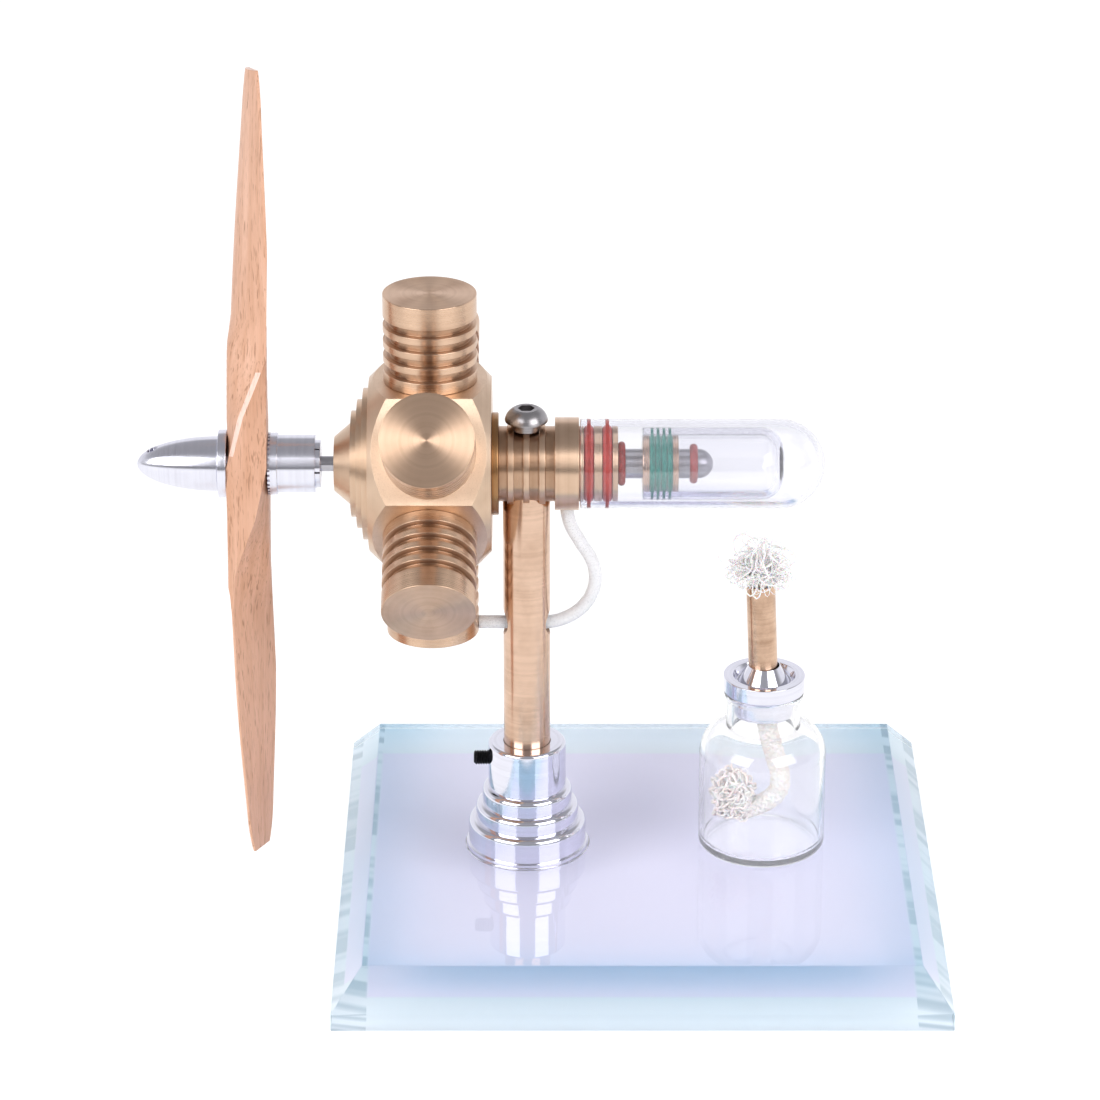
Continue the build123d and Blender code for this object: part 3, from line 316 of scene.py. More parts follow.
def case_brass():
    """Crankcase brass: turned steps round the crankshaft's axis, and six flats milled across it."""
    g = Graph("case_brass")
    along, radius, around = turned_parts(g, *SHAFT)
    offset = g.vector("SUBTRACT", g.place, (0, 0, AXIS_Z * MM))
    reach = 0.0
    for angle in (90, 30, -30):
        out = g.vector("DOT_PRODUCT", offset, radial(angle))
        reach = g.math("MAXIMUM", g.math("ABSOLUTE", out), reach)
    flat = g.math("GREATER_THAN", reach, (CASE_APOTHEM - 0.03) * MM)
    track = g.math("ADD", g.math("MULTIPLY", along, 1.7), radius)
    rings = g.lines(track, 5.0)
    milled = g.noise(g.vector("MULTIPLY", g.place, (1, 0.12, 0.12)), 5.0, 4.0, 0.7)
    marks = g.node("ShaderNodeMix", {"Factor": flat, "A": rings, "B": milled}, data_type="FLOAT").outputs[0]
    patches = g.noise(g.place, 0.14, 4.0)
    shade = g.between(patches, 0.42, 0.78, 0.0, 0.5)
    shade = g.math("ADD", shade, g.between(rings, 0.5, 0.75, 0.0, 0.2))
    grit = g.between(g.noise(g.place, 4.5, 3.0), 0.52, 0.72, 0.0, 0.45)
    shade = g.math("ADD", shade, g.math("MULTIPLY", flat, grit), clamp=True)
    around = g.to_world(around)
    over = g.vector("CROSS_PRODUCT", g.normal, around)
    tangent = g.node("ShaderNodeMix", data_type="VECTOR")
    g.put(tangent.inputs[0], flat)
    g.put(tangent.inputs[4], over)
    g.put(tangent.inputs[5], g.to_world(SHAFT_AXIS))
    g.set(
        Base_Color=g.mix(shade, (0.76, 0.57, 0.42), (0.54, 0.37, 0.25)), Metallic=1.0, Anisotropic=0.85,
        Roughness=g.between(marks, 0.3, 0.7, 0.34, 0.46),
        Normal=g.bump(marks, 0.005, g.rounding(0.12)), Tangent=tangent.outputs[1],
    )
    return g.material


def glass(
    name, tint=(1, 1, 1), shadow=(0.97, 0.97, 0.98), ior=1.47, absorbed=None, density=0.0, clearness=1.0,
):
    """Clear glass with faint smears and dust, which lets light through to what stands behind it."""
    g = Graph(name)
    smears = g.noise(g.vector("MULTIPLY", g.place, (1, 0.4, 1)), 0.09, 4.0)
    specks = g.between(g.noise(g.place, 1.9, 2.0), 0.73, 0.78)
    g.set(
        Base_Color=tint, IOR=ior, Transmission_Weight=clearness,
        Roughness=g.math("ADD", g.between(smears, 0.5, 0.8, 0.0, 0.03), g.math("MULTIPLY", specks, 0.12)),
    )
    clear = g.node("ShaderNodeBsdfTransparent", {"Color": (*shadow, 1)})
    shadow_ray = g.node("ShaderNodeLightPath").outputs["Is Shadow Ray"]
    mixed = g.node("ShaderNodeMixShader", {0: shadow_ray, 1: g.shader.outputs[0], 2: clear.outputs[0]})
    g.put(g.output.inputs["Surface"], mixed.outputs[0])
    if absorbed:
        volume = g.node("ShaderNodeVolumeAbsorption", {"Color": (*absorbed, 1), "Density": density})
        g.put(g.output.inputs["Volume"], volume.outputs[0])
    return g.material


def rubber(name, colour, dust):
    """Moulded rubber ring, satin, with lint and dust on it."""
    g = Graph(name)
    grain = g.noise(g.place, 5.0, 3.0)
    lint = g.between(g.noise(g.place, 3.4, 2.0), 0.66, 0.72)
    patches = g.noise(g.place, 0.5, 3.0)
    body = g.mix(g.between(patches, 0.35, 0.7), colour, tuple(c * 0.72 for c in colour))
    g.set(
        Base_Color=g.mix(g.math("MULTIPLY", lint, 0.55), body, dust),
        Roughness=g.between(grain, 0.3, 0.7, 0.34, 0.55), Normal=g.bump(grain, 0.012),
    )
    g.set(Specular_IOR_Level=0.4)
    return g.material


def silicone():
    """Translucent white hose."""
    g = Graph("silicone")
    cloud = g.noise(g.place, 0.5, 3.0)
    fine = g.noise(g.place, 6.0, 2.0)
    g.set(
        Base_Color=g.mix(g.between(cloud, 0.3, 0.7), (0.98, 0.98, 1.0), (0.93, 0.93, 0.98)),
        Roughness=g.between(fine, 0.3, 0.7, 0.24, 0.36), Subsurface_Weight=0.7, Subsurface_Scale=0.0015,
        Subsurface_Radius=(1.0, 1.0, 1.0), Transmission_Weight=0.25, IOR=1.41, Normal=g.bump(fine, 0.004),
    )
    return g.material


def beech(name="beech", pale=False):
    """Beech with its grain along the blades: soft bands, and the short dark flecks of its rays."""
    g = Graph(name)
    turn = g.node("ShaderNodeMapping", {"Vector": g.place, "Rotation": (radians(PROP_TURN), 0, 0)})
    upright = turn.outputs[0]
    bands = g.noise(g.vector("MULTIPLY", upright, (1, 1, 0.045)), 0.55, 3.0)
    fibres = g.noise(g.vector("MULTIPLY", upright, (1, 1, 0.05)), 5.5, 3.0, 0.65)
    cloud = g.noise(upright, 0.05, 2.0)
    dashes = g.noise(g.vector("MULTIPLY", upright, (1, 0.9, 0.12)), 1.9, 1.5, 0.5)
    needles = g.noise(g.vector("MULTIPLY", upright, (1, 0.9, 0.085)), 3.6, 1.0, 0.5)
    flecks = g.math("MAXIMUM", g.between(dashes, 0.64, 0.70), g.between(needles, 0.61, 0.69, 0.0, 0.8))
    # The pale colours are lit beech, for the painted highlight on the propeller's edges.
    if pale:
        light, deep = (0.94, 0.70, 0.60), (0.88, 0.60, 0.49)
    else:
        light, deep = (0.78, 0.46, 0.32), (0.64, 0.34, 0.21)
    wood = g.mix(g.between(bands, 0.32, 0.68), light, deep)
    wood = g.mix(g.between(cloud, 0.35, 0.7, 0.0, 0.3), wood, tuple(c * 0.86 for c in deep))
    wood = g.mix(g.between(fibres, 0.45, 0.8, 0.0, 0.35), wood, tuple(c * 0.75 for c in deep))
    wood = g.mix(g.math("MULTIPLY", flecks, 0.25 if pale else 0.62), wood, (0.30, 0.13, 0.06))
    g.set(
        Base_Color=wood, Roughness=g.between(fibres, 0.3, 0.7, 0.42, 0.58),
        Normal=g.bump(g.math("SUBTRACT", fibres, g.math("MULTIPLY", flecks, 0.6)), 0.03),
    )
    g.set(Coat_Weight=0.12, Coat_Roughness=0.3)
    return g.material


def cotton(name, warm, pale):
    """Cotton yarn: matt, with fine fibres and slightly uneven whiteness."""
    g = Graph(name)
    fibres = g.noise(g.place, 9.0, 4.0, 0.7)
    cloud = g.noise(g.place, 0.35, 3.0)
    shade = g.between(cloud, 0.35, 0.7, 0.0, 0.6)
    shade = g.math("ADD", shade, g.between(fibres, 0.45, 0.8, 0.0, 0.4), clamp=True)
    g.set(
        Base_Color=g.mix(shade, pale, warm), Roughness=0.9,
        Subsurface_Weight=0.25, Subsurface_Scale=0.0008, Normal=g.bump(fibres, 0.05),
    )
    g.set(Sheen_Weight=0.35, Sheen_Roughness=0.5)
    return g.material


def black_oxide():
    """Blackened steel with bare wear on the crests."""
    g = Graph("black_steel")
    grain = g.noise(g.place, 4.0, 4.0)
    wear = g.between(g.noise(g.place, 1.1, 3.0), 0.6, 0.72)
    g.set(
        Base_Color=g.mix(wear, (0.012, 0.012, 0.014), (0.07, 0.068, 0.07)), Metallic=0.85,
        Roughness=g.between(grain, 0.3, 0.7, 0.3, 0.5), Normal=g.bump(grain, 0.006),
    )
    return g.material


def graphite():
    g = Graph("graphite")
    grain = g.noise(g.place, 7.0, 4.0)
    g.set(
        Base_Color=g.mix(grain, (0.05, 0.05, 0.055), (0.11, 0.11, 0.12)), Metallic=0.3,
        Roughness=g.between(grain, 0.3, 0.7, 0.42, 0.6), Normal=g.bump(grain, 0.01),
    )
    return g.material


# -------- mesh building
def publish(name, form, material, sharp=40):
    """Turns a bmesh into a smooth-shaded object with crisp edges."""
    bmesh.ops.recalc_face_normals(form, faces=form.faces)
    data = bpy.data.meshes.new(name)
    form.to_mesh(data)
    form.free()
    data.shade_smooth()
    data.set_sharp_from_angle(angle=radians(sharp))
    data.materials.append(material)
    piece = link(bpy.data.objects.new(name, data))
    weighted = piece.modifiers.new("Weighted", "WEIGHTED_NORMAL")
    weighted.keep_sharp = True
    return piece


def add_skin(form, rings, closed=False, caps=False):
    """Joins rings of equal count, in mm, with quads. A ring on one point becomes a pole."""
    rows = [[form.verts.new(p * MM) for p in ring] for ring in rings]
    pairs = list(zip(rows, rows[1:])) + ([(rows[-1], rows[0])] if closed else [])
    for low, high in pairs:
        for i in range(len(low)):
            j = (i + 1) % len(low)
            form.faces.new((low[i], low[j], high[j], high[i]))
    if caps:
        form.faces.new(rows[0])
        form.faces.new(rows[-1])


def skin(name, rings, material, closed=False, caps=False, sharp=40):
    form = bmesh.new()
    add_skin(form, rings, closed, caps)
    bmesh.ops.remove_doubles(form, verts=form.verts, dist=1e-7)
    return publish(name, form, material, sharp)


def softened(outline, edge, closed):
    """Outline whose corners are turned into small arcs; points on the axis stay as they are."""
    points = [Vector(p) for p in outline]
    result = []
    for i, corner in enumerate(points):
        at_end = not closed and i in (0, len(points) - 1)
        back, on = points[i - 1] - corner, points[(i + 1) % len(points)] - corner
        if at_end or corner.y < 1e-6 or back.angle(on) > radians(160):
            result.append(corner)
            continue
        reach = min(edge / tan(back.angle(on) / 2), 0.4 * back.length, 0.4 * on.length)
        start, end = corner + back.normalized() * reach, corner + on.normalized() * reach
        for t in (0, 0.25, 0.5, 0.75, 1):
            result.append(start * (1 - t) ** 2 + corner * (2 * t * (1 - t)) + end * t ** 2)
    return result


def turned_rings(outline, centre, axis, around):
    """Rings of points for an outline of (distance along the axis, radius)."""
    along = Vector(axis).normalized()
    side = along.orthogonal().normalized()
    up = along.cross(side)
    origin = Vector(centre)
    steps = [2 * pi * i / around for i in range(around)]
    return [
        [origin + along * h + (side * cos(a) + up * sin(a)) * r for a in steps]
        for h, r in outline
    ]


def lathe(name, outline, material, centre=(0, 0, 0), axis=(0, 0, 1), edge=0.12, closed=False, around=128):
    """Piece turned from an outline of (distance along the axis, radius) in mm."""
    rings = turned_rings(softened(outline, edge, closed), centre, axis, around)
    return skin(name, rings, material, closed)


def arc(centre, radius, start, end, steps):
    """Outline points on an arc, angles in degrees."""
    angles = [radians(start + (end - start) * i / steps) for i in range(steps + 1)]
    return [(centre[0] + radius * cos(a), centre[1] + radius * sin(a)) for a in angles]


def tube_rings(path, radius, sides):
    """Rings that follow a path of points; radius is a number or a function of the share along it."""
    rings = []
    side = None
    for i, point in enumerate(path):
        ahead = (path[min(i + 1, len(path) - 1)] - path[max(i - 1, 0)]).normalized()
        side = ahead.orthogonal() if side is None else side - ahead * side.dot(ahead)
        side = side.normalized()
        up = ahead.cross(side)
        size = radius(i / (len(path) - 1)) if callable(radius) else radius
        angles = [2 * pi * k / sides for k in range(sides)]
        rings.append([point + (side * cos(a) + up * sin(a)) * size for a in angles])
    return rings


def strands(name, paths, radius, material, sides=6):
    """One piece made of many yarns or fibres."""
    form = bmesh.new()
    for path in paths:
        add_skin(form, tube_rings(path, radius, sides), caps=True)
    return publish(name, form, material, 80)


def rider(piece, body):
    """Adds a piece that stands for no CAD node."""
    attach(piece, body)


def stand_in(piece, slot, *nodes):
    """Puts a piece in the place of CAD nodes: it rides on their body, and the nodes are hidden; the slot
    argument is not used.
    """
    rider(piece, BODY_OF[nodes[0]])
    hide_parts(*nodes)


def finish_node(material, *nodes):
    """Gives CAD nodes their material."""
    for name in nodes:
        data = NODES[name].data
        data.materials.clear()
        data.materials.append(material)


# -------- colours
BRASS_DARK = (0.45, 0.28, 0.18)
ALUMINIUM = ((0.80, 0.80, 0.88), (0.60, 0.59, 0.67))    # clean, stained


# -------- glass plate and pedestal
def glass_plate():
    """Thick plate with a wide bevel on each side and small ground arrises."""
    form = bmesh.new()
    levels = ((0, 0), (PLATE_T - BEVEL_DROP, 0), (PLATE_T, BEVEL_IN))
    rows = []
    for z, inset in levels:
        half_x, half_y = PLATE_X / 2 - inset, PLATE_Y / 2 - inset
        corners = ((-half_x, -half_y), (half_x, -half_y), (half_x, half_y), (-half_x, half_y))
        rows.append([
            form.verts.new(Vector((PLATE_CENTRE[0] + x, PLATE_CENTRE[1] + y, z)) * MM) for x, y in corners
        ])
    for low, high in zip(rows, rows[1:]):
        for i in range(4):
            form.faces.new((low[i], low[(i + 1) % 4], high[(i + 1) % 4], high[i]))
    form.faces.new(rows[0])
    form.faces.new(rows[-1])
    bmesh.ops.bevel(form, geom=form.edges[:], offset=0.22 * MM, segments=2, profile=0.5, affect="EDGES")
    clear = {"shadow": (1.0, 1.0, 1.0), "ior": 1.5, "absorbed": (0.76, 0.90, 0.94), "density": 5.0}
    plate = publish("glass_plate", form, glass("plate_glass", **clear), 20)
    plate.data.materials.append(plate_underside())
    plate.data.materials.append(glass("plate_glass_edges", tint=(0.975, 0.99, 0.985), **clear))
    for face in plate.data.polygons:
        if face.normal.z < -0.9:
            face.material_index = 1
        elif face.normal.z < 0.9:
            face.material_index = 2
    return plate


def plate_underside():
    """Pale lavender backing below the flat top; its margin, below the bevels, is painted blue-grey, lighter
    outwards, with darker streaks: painted reflection seen through the bevels.
    """
    g = Graph("plate_underside")
    cloud = g.noise(g.place, 0.02, 3.0)
    grain = g.noise(g.place, 2.5, 3.0)
    middle = g.vector("SUBTRACT", g.place, (PLATE_CENTRE[0] * MM, PLATE_CENTRE[1] * MM, 0))
    reach = g.node("ShaderNodeSeparateXYZ", {0: g.vector("ABSOLUTE", middle)})
    beyond_x = g.math("SUBTRACT", reach.outputs["X"], (PLATE_X / 2 - BEVEL_IN - 0.8) * MM)
    beyond_y = g.math("SUBTRACT", reach.outputs["Y"], (PLATE_Y / 2 - BEVEL_IN - 6.0) * MM)
    margin = g.between(g.math("MAXIMUM", beyond_x, beyond_y), -0.4 * MM, 0.4 * MM)
    slant = g.vector("DOT_PRODUCT", g.place, (0.35, 1.0, 0))
    painted_streaks = g.between(g.lines(slant, 0.09, 2.0), 0.46, 0.56)
    painted_streaks = g.math("MULTIPLY", painted_streaks, g.math("GREATER_THAN", beyond_x, 0.0))
    backing = g.mix(cloud, (0.76, 0.72, 0.86), (0.71, 0.68, 0.82))
    # Painted reflection: the margin's blue-grey, lighter outwards, and its darker streaks stand in for light
    # seen through the bevels.
    edge = g.mix(g.between(beyond_y, 0.0, 6 * MM), (0.71, 0.76, 0.82), (0.77, 0.83, 0.89))
    clear = g.mix(painted_streaks, edge, (0.47, 0.56, 0.63))
    g.set(Base_Color=g.mix(margin, backing, clear), Roughness=g.between(grain, 0.3, 0.7, 0.6, 0.8))
    return g.material


stand_in(glass_plate(), "plate_glass", "base_plate")

polished = turned(
    "polished_aluminium", *ALUMINIUM, (0, 0, 0), (0, 0, 1),
    roughness=0.09, marks=0.0012, spread=0.3, edges=0, stains=0.15,
)


def pedestal():
    """Stepped foot whose three steps have large rounded brows."""
    brow, rim = 1.15, 0.7
    outline = [(FOOT_BASE, HUB_BORE_R), (HUB_TOP, HUB_BORE_R)]
    outline += arc((HUB_TOP - rim, HUB_R - rim), rim, 0, 90, 8)
    inner = HUB_R
    for radius, top in PEDESTAL_STEPS:
        outline.append((top, inner))
        outline += arc((top - brow, radius - brow), brow, 0, 90, 8)
        inner = radius
    outline += [(FOOT_TOP, inner), (FOOT_TOP, FOOT_R), (FOOT_BASE, FOOT_R)]
    return lathe("stepped_pedestal", outline, polished, closed=True, edge=0.08)


stand_in(pedestal(), "polished_aluminium", "pedestal")


def glue_bead():
    """Bead of clear adhesive round the foot, uneven in width, with one blob at the left."""
    foot_r, base, sides = 12.0, 11.02, 160
    blob_at, blob_width = radians(192), 0.07
    profile = ((0.0, 0.0), (0.62, 0.0), (0.45, 0.23), (0.2, 0.4), (0.0, 0.43))
    rings = []
    for width, height in profile:
        ring = []
        for i in range(sides):
            a = 2 * pi * i / sides
            swell = 0.5 + 0.3 * sin(3 * a + 1) + 0.2 * sin(7 * a)
            blob = exp(-((a - blob_at) / blob_width) ** 2)
            r = foot_r + width * (0.45 + 0.5 * swell) * (1 + 0.5 * blob)
            z = base + height * (0.6 + 0.5 * swell) * (1 + 0.3 * blob)
            ring.append(Vector((r * cos(a), r * sin(a), z)))
        rings.append(ring)
    return skin("glue_bead", rings, glass("adhesive", shadow=(0.95, 0.95, 0.96)), closed=True, sharp=80)


stand_in(glue_bead(), "adhesive", "glue_ring")


def threaded_screw():
    """Black set screw with a fine helical thread and a hexagon socket in its outer end."""
    pitch, depth, sides, rings_per_turn = 0.5, 0.27, 48, 10
    socket, socket_depth, face_r, point = 0.75, 1.5, 1.05, 0.3
    rings = []

    def ring(x, size):
        polar = [(size(a), a) for a in (2 * pi * i / sides for i in range(sides))]
        rings.append([Vector((x, r * cos(a), SET_SCREW_Z + r * sin(a))) for r, a in polar])

    def hexagon(a):
        return socket / cos((a + pi / 6) % (pi / 3) - pi / 6)

    ring(SET_SCREW_OUT + socket_depth, lambda a: 0.0)
    ring(SET_SCREW_OUT + socket_depth, hexagon)
    ring(SET_SCREW_OUT, hexagon)
    ring(SET_SCREW_OUT, lambda a: face_r)
    length = SET_SCREW_IN - SET_SCREW_OUT
    steps = int(length / pitch * rings_per_turn)
    for k in range(steps + 1):
        x = SET_SCREW_OUT + point + (length - point) * k / steps

        def crest(a, x=x):
            phase = (x / pitch + a / (2 * pi)) % 1
            return SET_SCREW_R - depth * abs(2 * phase - 1) ** 0.9

        ring(x, crest)
    ring(SET_SCREW_IN, lambda a: 0.0)
    return skin("threaded_set_screw", rings, black_oxide(), sharp=50)


stand_in(threaded_screw(), "black_steel", "set_screw")
mast_brass = turned(
    "mast_brass", (0.74, 0.52, 0.39), (0.46, 0.29, 0.19), (0, 0, 0), (0, 0, 1),
    roughness=0.19, marks=0.003, spread=0.7, edges=0.08, stains=0.5,
)
finish_node(mast_brass, "column")

# -------- neck, crankcase and cylinders
NECK_R, FIN_R, FIN_HALF, COLLAR_R, NOSE_R = 7.3, 7.85, 0.6, 9.0, 5.0
NOSE_END, NECK_FRONT, COLLAR_FRONT, COLLAR_BACK, NECK_END = -11.0, -5.35, 5.5, 10.15, 17.65
NECK_BORE_R, NECK_BORE_X = 2.95, 12.1
FIN_XS, SEAL_XS = (-3.05, 0.0, 3.05), (12.05, 15.6)
SEAL_GROOVE_R, SEAL_SECTION_R = 5.45, 1.0

NECK_OUTLINE = [(NOSE_END, 0), (NOSE_END, NOSE_R), (NECK_FRONT, NOSE_R), (NECK_FRONT, NECK_R)]
for fin_x in FIN_XS:
    low, high = fin_x - FIN_HALF, fin_x + FIN_HALF
    NECK_OUTLINE += [(low, NECK_R), (low, FIN_R), (high, FIN_R), (high, NECK_R)]
NECK_OUTLINE += [(COLLAR_FRONT, NECK_R), (COLLAR_FRONT, COLLAR_R)]
NECK_OUTLINE += [(COLLAR_BACK, COLLAR_R), (COLLAR_BACK, NECK_R)]
for seal_x in SEAL_XS:
    low, high = seal_x - SEAL_SECTION_R, seal_x + SEAL_SECTION_R
    NECK_OUTLINE += [(low, NECK_R), (low, SEAL_GROOVE_R), (high, SEAL_GROOVE_R), (high, NECK_R)]
NECK_OUTLINE += [(NECK_END, NECK_R), (NECK_END, NECK_BORE_R), (NECK_BORE_X, NECK_BORE_R), (NECK_BORE_X, 0)]

# The neck's groove floors between the fins are painted darker: painted shade.
neck_brass = turned(
    "neck_brass", (0.70, 0.50, 0.36), BRASS_DARK, *SHAFT, roughness=0.32, spread=0.8, edges=0,
    groove_shade=(7.75, -5.3, 5.45),
)
stand_in(lathe("finned_neck", NECK_OUTLINE, neck_brass, *SHAFT), "neck_brass", "neck")

# Painted shade: the back disc's brass is given dark browns for the shade and dark reflection it shows, facing
# away from the lamps.
disc_brass = turned(
    "disc_brass", (0.40, 0.22, 0.10), (0.22, 0.11, 0.05), *SHAFT, roughness=0.3, edges=0,
)
DISC_OUTLINE = ((-6.68, 5.05), (-6.68, 9.95), (-5.35, 9.95), (-5.35, 5.05))
stand_in(
    lathe("back_disc_painted_dark", DISC_OUTLINE, disc_brass, *SHAFT, edge=0.25, closed=True),
    "disc_brass", "back_disc",
)

finish_node(case_brass(), "crankcase")


def cylinder_outline(hollow):
    """Finned cylinder from its spigot to its faced end, measured outwards from the crankshaft."""
    seat = CASE_APOTHEM + 0.02
    outline = [(SPIGOT_END, 0), (SPIGOT_END, SPIGOT_R)]
    if hollow:
        outline = [(BORE_FLOOR, 0), (BORE_FLOOR, BORE_R), (BORE_MOUTH, BORE_R), (BORE_MOUTH, SPIGOT_R)]
    outline += [(seat, SPIGOT_R), (seat, CYL_R)]
    floor_r = CYL_R - GROOVE_DEPTH
    edge = CYL_END - HEAD_BAND - GROOVES * GROOVE_W - (GROOVES - 1) * FIN_W
    for _ in range(GROOVES):
        outline += [(edge, CYL_R), (edge, floor_r), (edge + GROOVE_W, floor_r), (edge + GROOVE_W, CYL_R)]
        edge += GROOVE_W + FIN_W
    return outline + [(CYL_END, CYL_R), (CYL_END, 0)]


# Each cylinder's groove floors between the fins are painted darker: painted shade.
for node, angle in CYL_ANGLES.items():
    line = ((CYL_X, 0, AXIS_Z), radial(angle))
    brass = turned(
        f"brass_{node}", (0.69, 0.48, 0.34), BRASS_DARK, *line, roughness=0.37, spread=0.85, edges=0,
        groove_shade=(CYL_R - 0.5, CASE_APOTHEM, CYL_END - 2.0), side_share=0.78,
    )
    outline = cylinder_outline(node == "power_cylinder")
    stand_in(lathe(f"finned_{node}", outline, brass, *line, edge=0.14), "cylinder_brass", node)

# -------- hose and small metal parts
hose.data.materials.append(silicone())
stand_in(hose, "silicone", "gas_tube")

steel = drawn("shaft_steel", (0.50, 0.49, 0.52), (0.32, 0.31, 0.34), SHAFT_AXIS, roughness=0.2)
finish_node(
    steel, "crankshaft", "crank_disc", "crank_pin", "wrist_pin",
    "bearing_outer_races", "bearing_inner_races", "bearing_balls",
)
finish_node(drawn("rod_aluminium", *ALUMINIUM, (0, 0, 1)), "connecting_rod")
finish_node(graphite(), "piston")
nipple_brass = drawn("tube_brass_nipples", (0.64, 0.43, 0.28), (0.42, 0.25, 0.14), (0, 0, 1))
finish_node(nipple_brass, "cap_nipple", "cylinder_nipple")
screw_steel = turned(
    "screw_steel", (0.42, 0.40, 0.41), (0.22, 0.21, 0.22), (0, 0, 0), (0, 0, 1),
    roughness=0.3, marks=0.008, spread=0.3, edges=0.1, stains=0.6,
)
finish_node(screw_steel, "neck_screw")
guide_steel = turned(
    "guide_steel", (0.46, 0.45, 0.48), (0.30, 0.29, 0.31), *SHAFT,
    roughness=0.3, marks=0.008, edges=0.05,
)
finish_node(guide_steel, "guide_tube")
bush_brass = turned("bush_brass", (0.66, 0.45, 0.33), BRASS_DARK, *SHAFT, roughness=0.25)
finish_node(bush_brass, "displacer_plug")

# -------- rubber rings
WETTING = 0.07


def o_rings(name, centres, middle_r, section_r, material):
    """Moulded rings side by side, pressed a little into the glass so that they wet it."""
    form = bmesh.new()
    for x in centres:
        section = arc((x, middle_r), section_r, 0, 360, 20)[:-1]
        add_skin(form, turned_rings(section, *SHAFT, 128), closed=True)
    return publish(name, form, material, 80)


red_rubber = rubber("red_rubber", (0.48, 0.04, 0.03), (0.8, 0.5, 0.45))
green_rubber = rubber("green_rubber", (0.015, 0.25, 0.19), (0.35, 0.6, 0.55))
seal_r = SEAL_GROOVE_R + SEAL_SECTION_R + WETTING
seal_rings = o_rings("seal_rings", SEAL_XS, seal_r, SEAL_SECTION_R, red_rubber)
stand_in(seal_rings, "red_rubber", "seal_o_rings")
BUSH_RING_XS, BUSH_RING_R, BUSH_SECTION_R = [24.25 + 1.14 * i for i in range(4)], 5.01, 0.56
bush_rings = o_rings("bush_rings", BUSH_RING_XS, BUSH_RING_R + WETTING, BUSH_SECTION_R, green_rubber)
stand_in(bush_rings, "green_rubber", "displacer_o_rings")
finish_node(rubber("dark_red_rubber", (0.36, 0.035, 0.03), (0.8, 0.55, 0.5)), "bumper_inner", "bumper_outer")

# -------- hot cap and displacer
CAP_R, CAP_BORE_R, CAP_X, CAP_END = 8.7, 7.45, 10.4, 57.75
cap_centre = (CAP_END - CAP_R, 0)
CAP_OUTLINE = [(CAP_X, CAP_BORE_R), (CAP_X, CAP_R)] + arc(cap_centre, CAP_R, 90, 0, 40)
CAP_OUTLINE += arc(cap_centre, CAP_BORE_R, 0, 90, 40)
DISP_R, DISP_BORE_R, DISP_X, DISP_END, DISP_CORNER = 7.0, 5.57, 22.4, 50.0, 4.4
disp_wall = DISP_R - DISP_BORE_R
DISP_DOME = 0.3
flat_r = DISP_R - DISP_CORNER
corner_centre = (DISP_END - DISP_DOME - DISP_CORNER, flat_r)
dome = [(DISP_END - DISP_DOME * (i / 8) ** 2, flat_r * i / 8) for i in range(7, -1, -1)]
DISP_OUTLINE = [(DISP_X, DISP_BORE_R), (DISP_X, DISP_R)] + arc(corner_centre, DISP_CORNER, 90, 12, 24) + dome
DISP_OUTLINE += [(x - disp_wall, r) for x, r in reversed(dome)]
DISP_OUTLINE += arc(corner_centre, DISP_CORNER - disp_wall, 12, 90, 24)


def glass_tube(name, outline, slot, node):
    """Closed-end glass tube with fire-polished rims."""
    rings = turned_rings(softened(outline, 0.3, True), *SHAFT, 160)
    clear = glass(slot, absorbed=(0.78, 0.78, 0.92), density=110.0, clearness=0.98)
    stand_in(skin(name, rings, clear, closed=True, sharp=60), slot, node)


glass_tube("hot_cap_glass", CAP_OUTLINE, "cap_glass", "hot_cap")
glass_tube("displacer_tube", DISP_OUTLINE, "displacer_glass", "displacer_glass")

# -------- propeller and its adapter
adapter = turned(
    "adapter_aluminium", *ALUMINIUM, *SHAFT,
    roughness=0.21, marks=0.0025, spread=0.85, edges=0.12, stains=0.3,
)
finish_node(adapter, "prop_adapter", "collet_sleeve")
WASHER_OUTLINE = ((-59.46, 2.55), (-59.46, 6.65), (-57.75, 6.65), (-57.75, 6.2), (-58.4, 5.6), (-58.4, 2.55))
stand_in(
    lathe("dished_washer", WASHER_OUTLINE, adapter, *SHAFT, edge=0.15, closed=True),
    "adapter_aluminium", "prop_washer",
)


def cut_hole(piece, centre, axis, radius, length):
    """Cuts a round cross hole through a piece, for good."""
    outline = ((-length / 2, 0), (-length / 2, radius), (length / 2, radius), (length / 2, 0))
    cutter = skin("Cutter", turned_rings(outline, centre, axis, 48), piece.data.materials[0])
    cut = piece.modifiers.new("Hole", "BOOLEAN")
    cut.operation, cut.solver, cut.object = "DIFFERENCE", "EXACT", cutter
    weighted = piece.modifiers["Weighted"]
    weighted.show_viewport = False
    bpy.context.view_layer.update()
    holed = bpy.data.meshes.new_from_object(piece.evaluated_get(bpy.context.evaluated_depsgraph_get()))
    weighted.show_viewport = True
    piece.modifiers.remove(cut)
    piece.data = holed
    bpy.data.objects.remove(cutter)


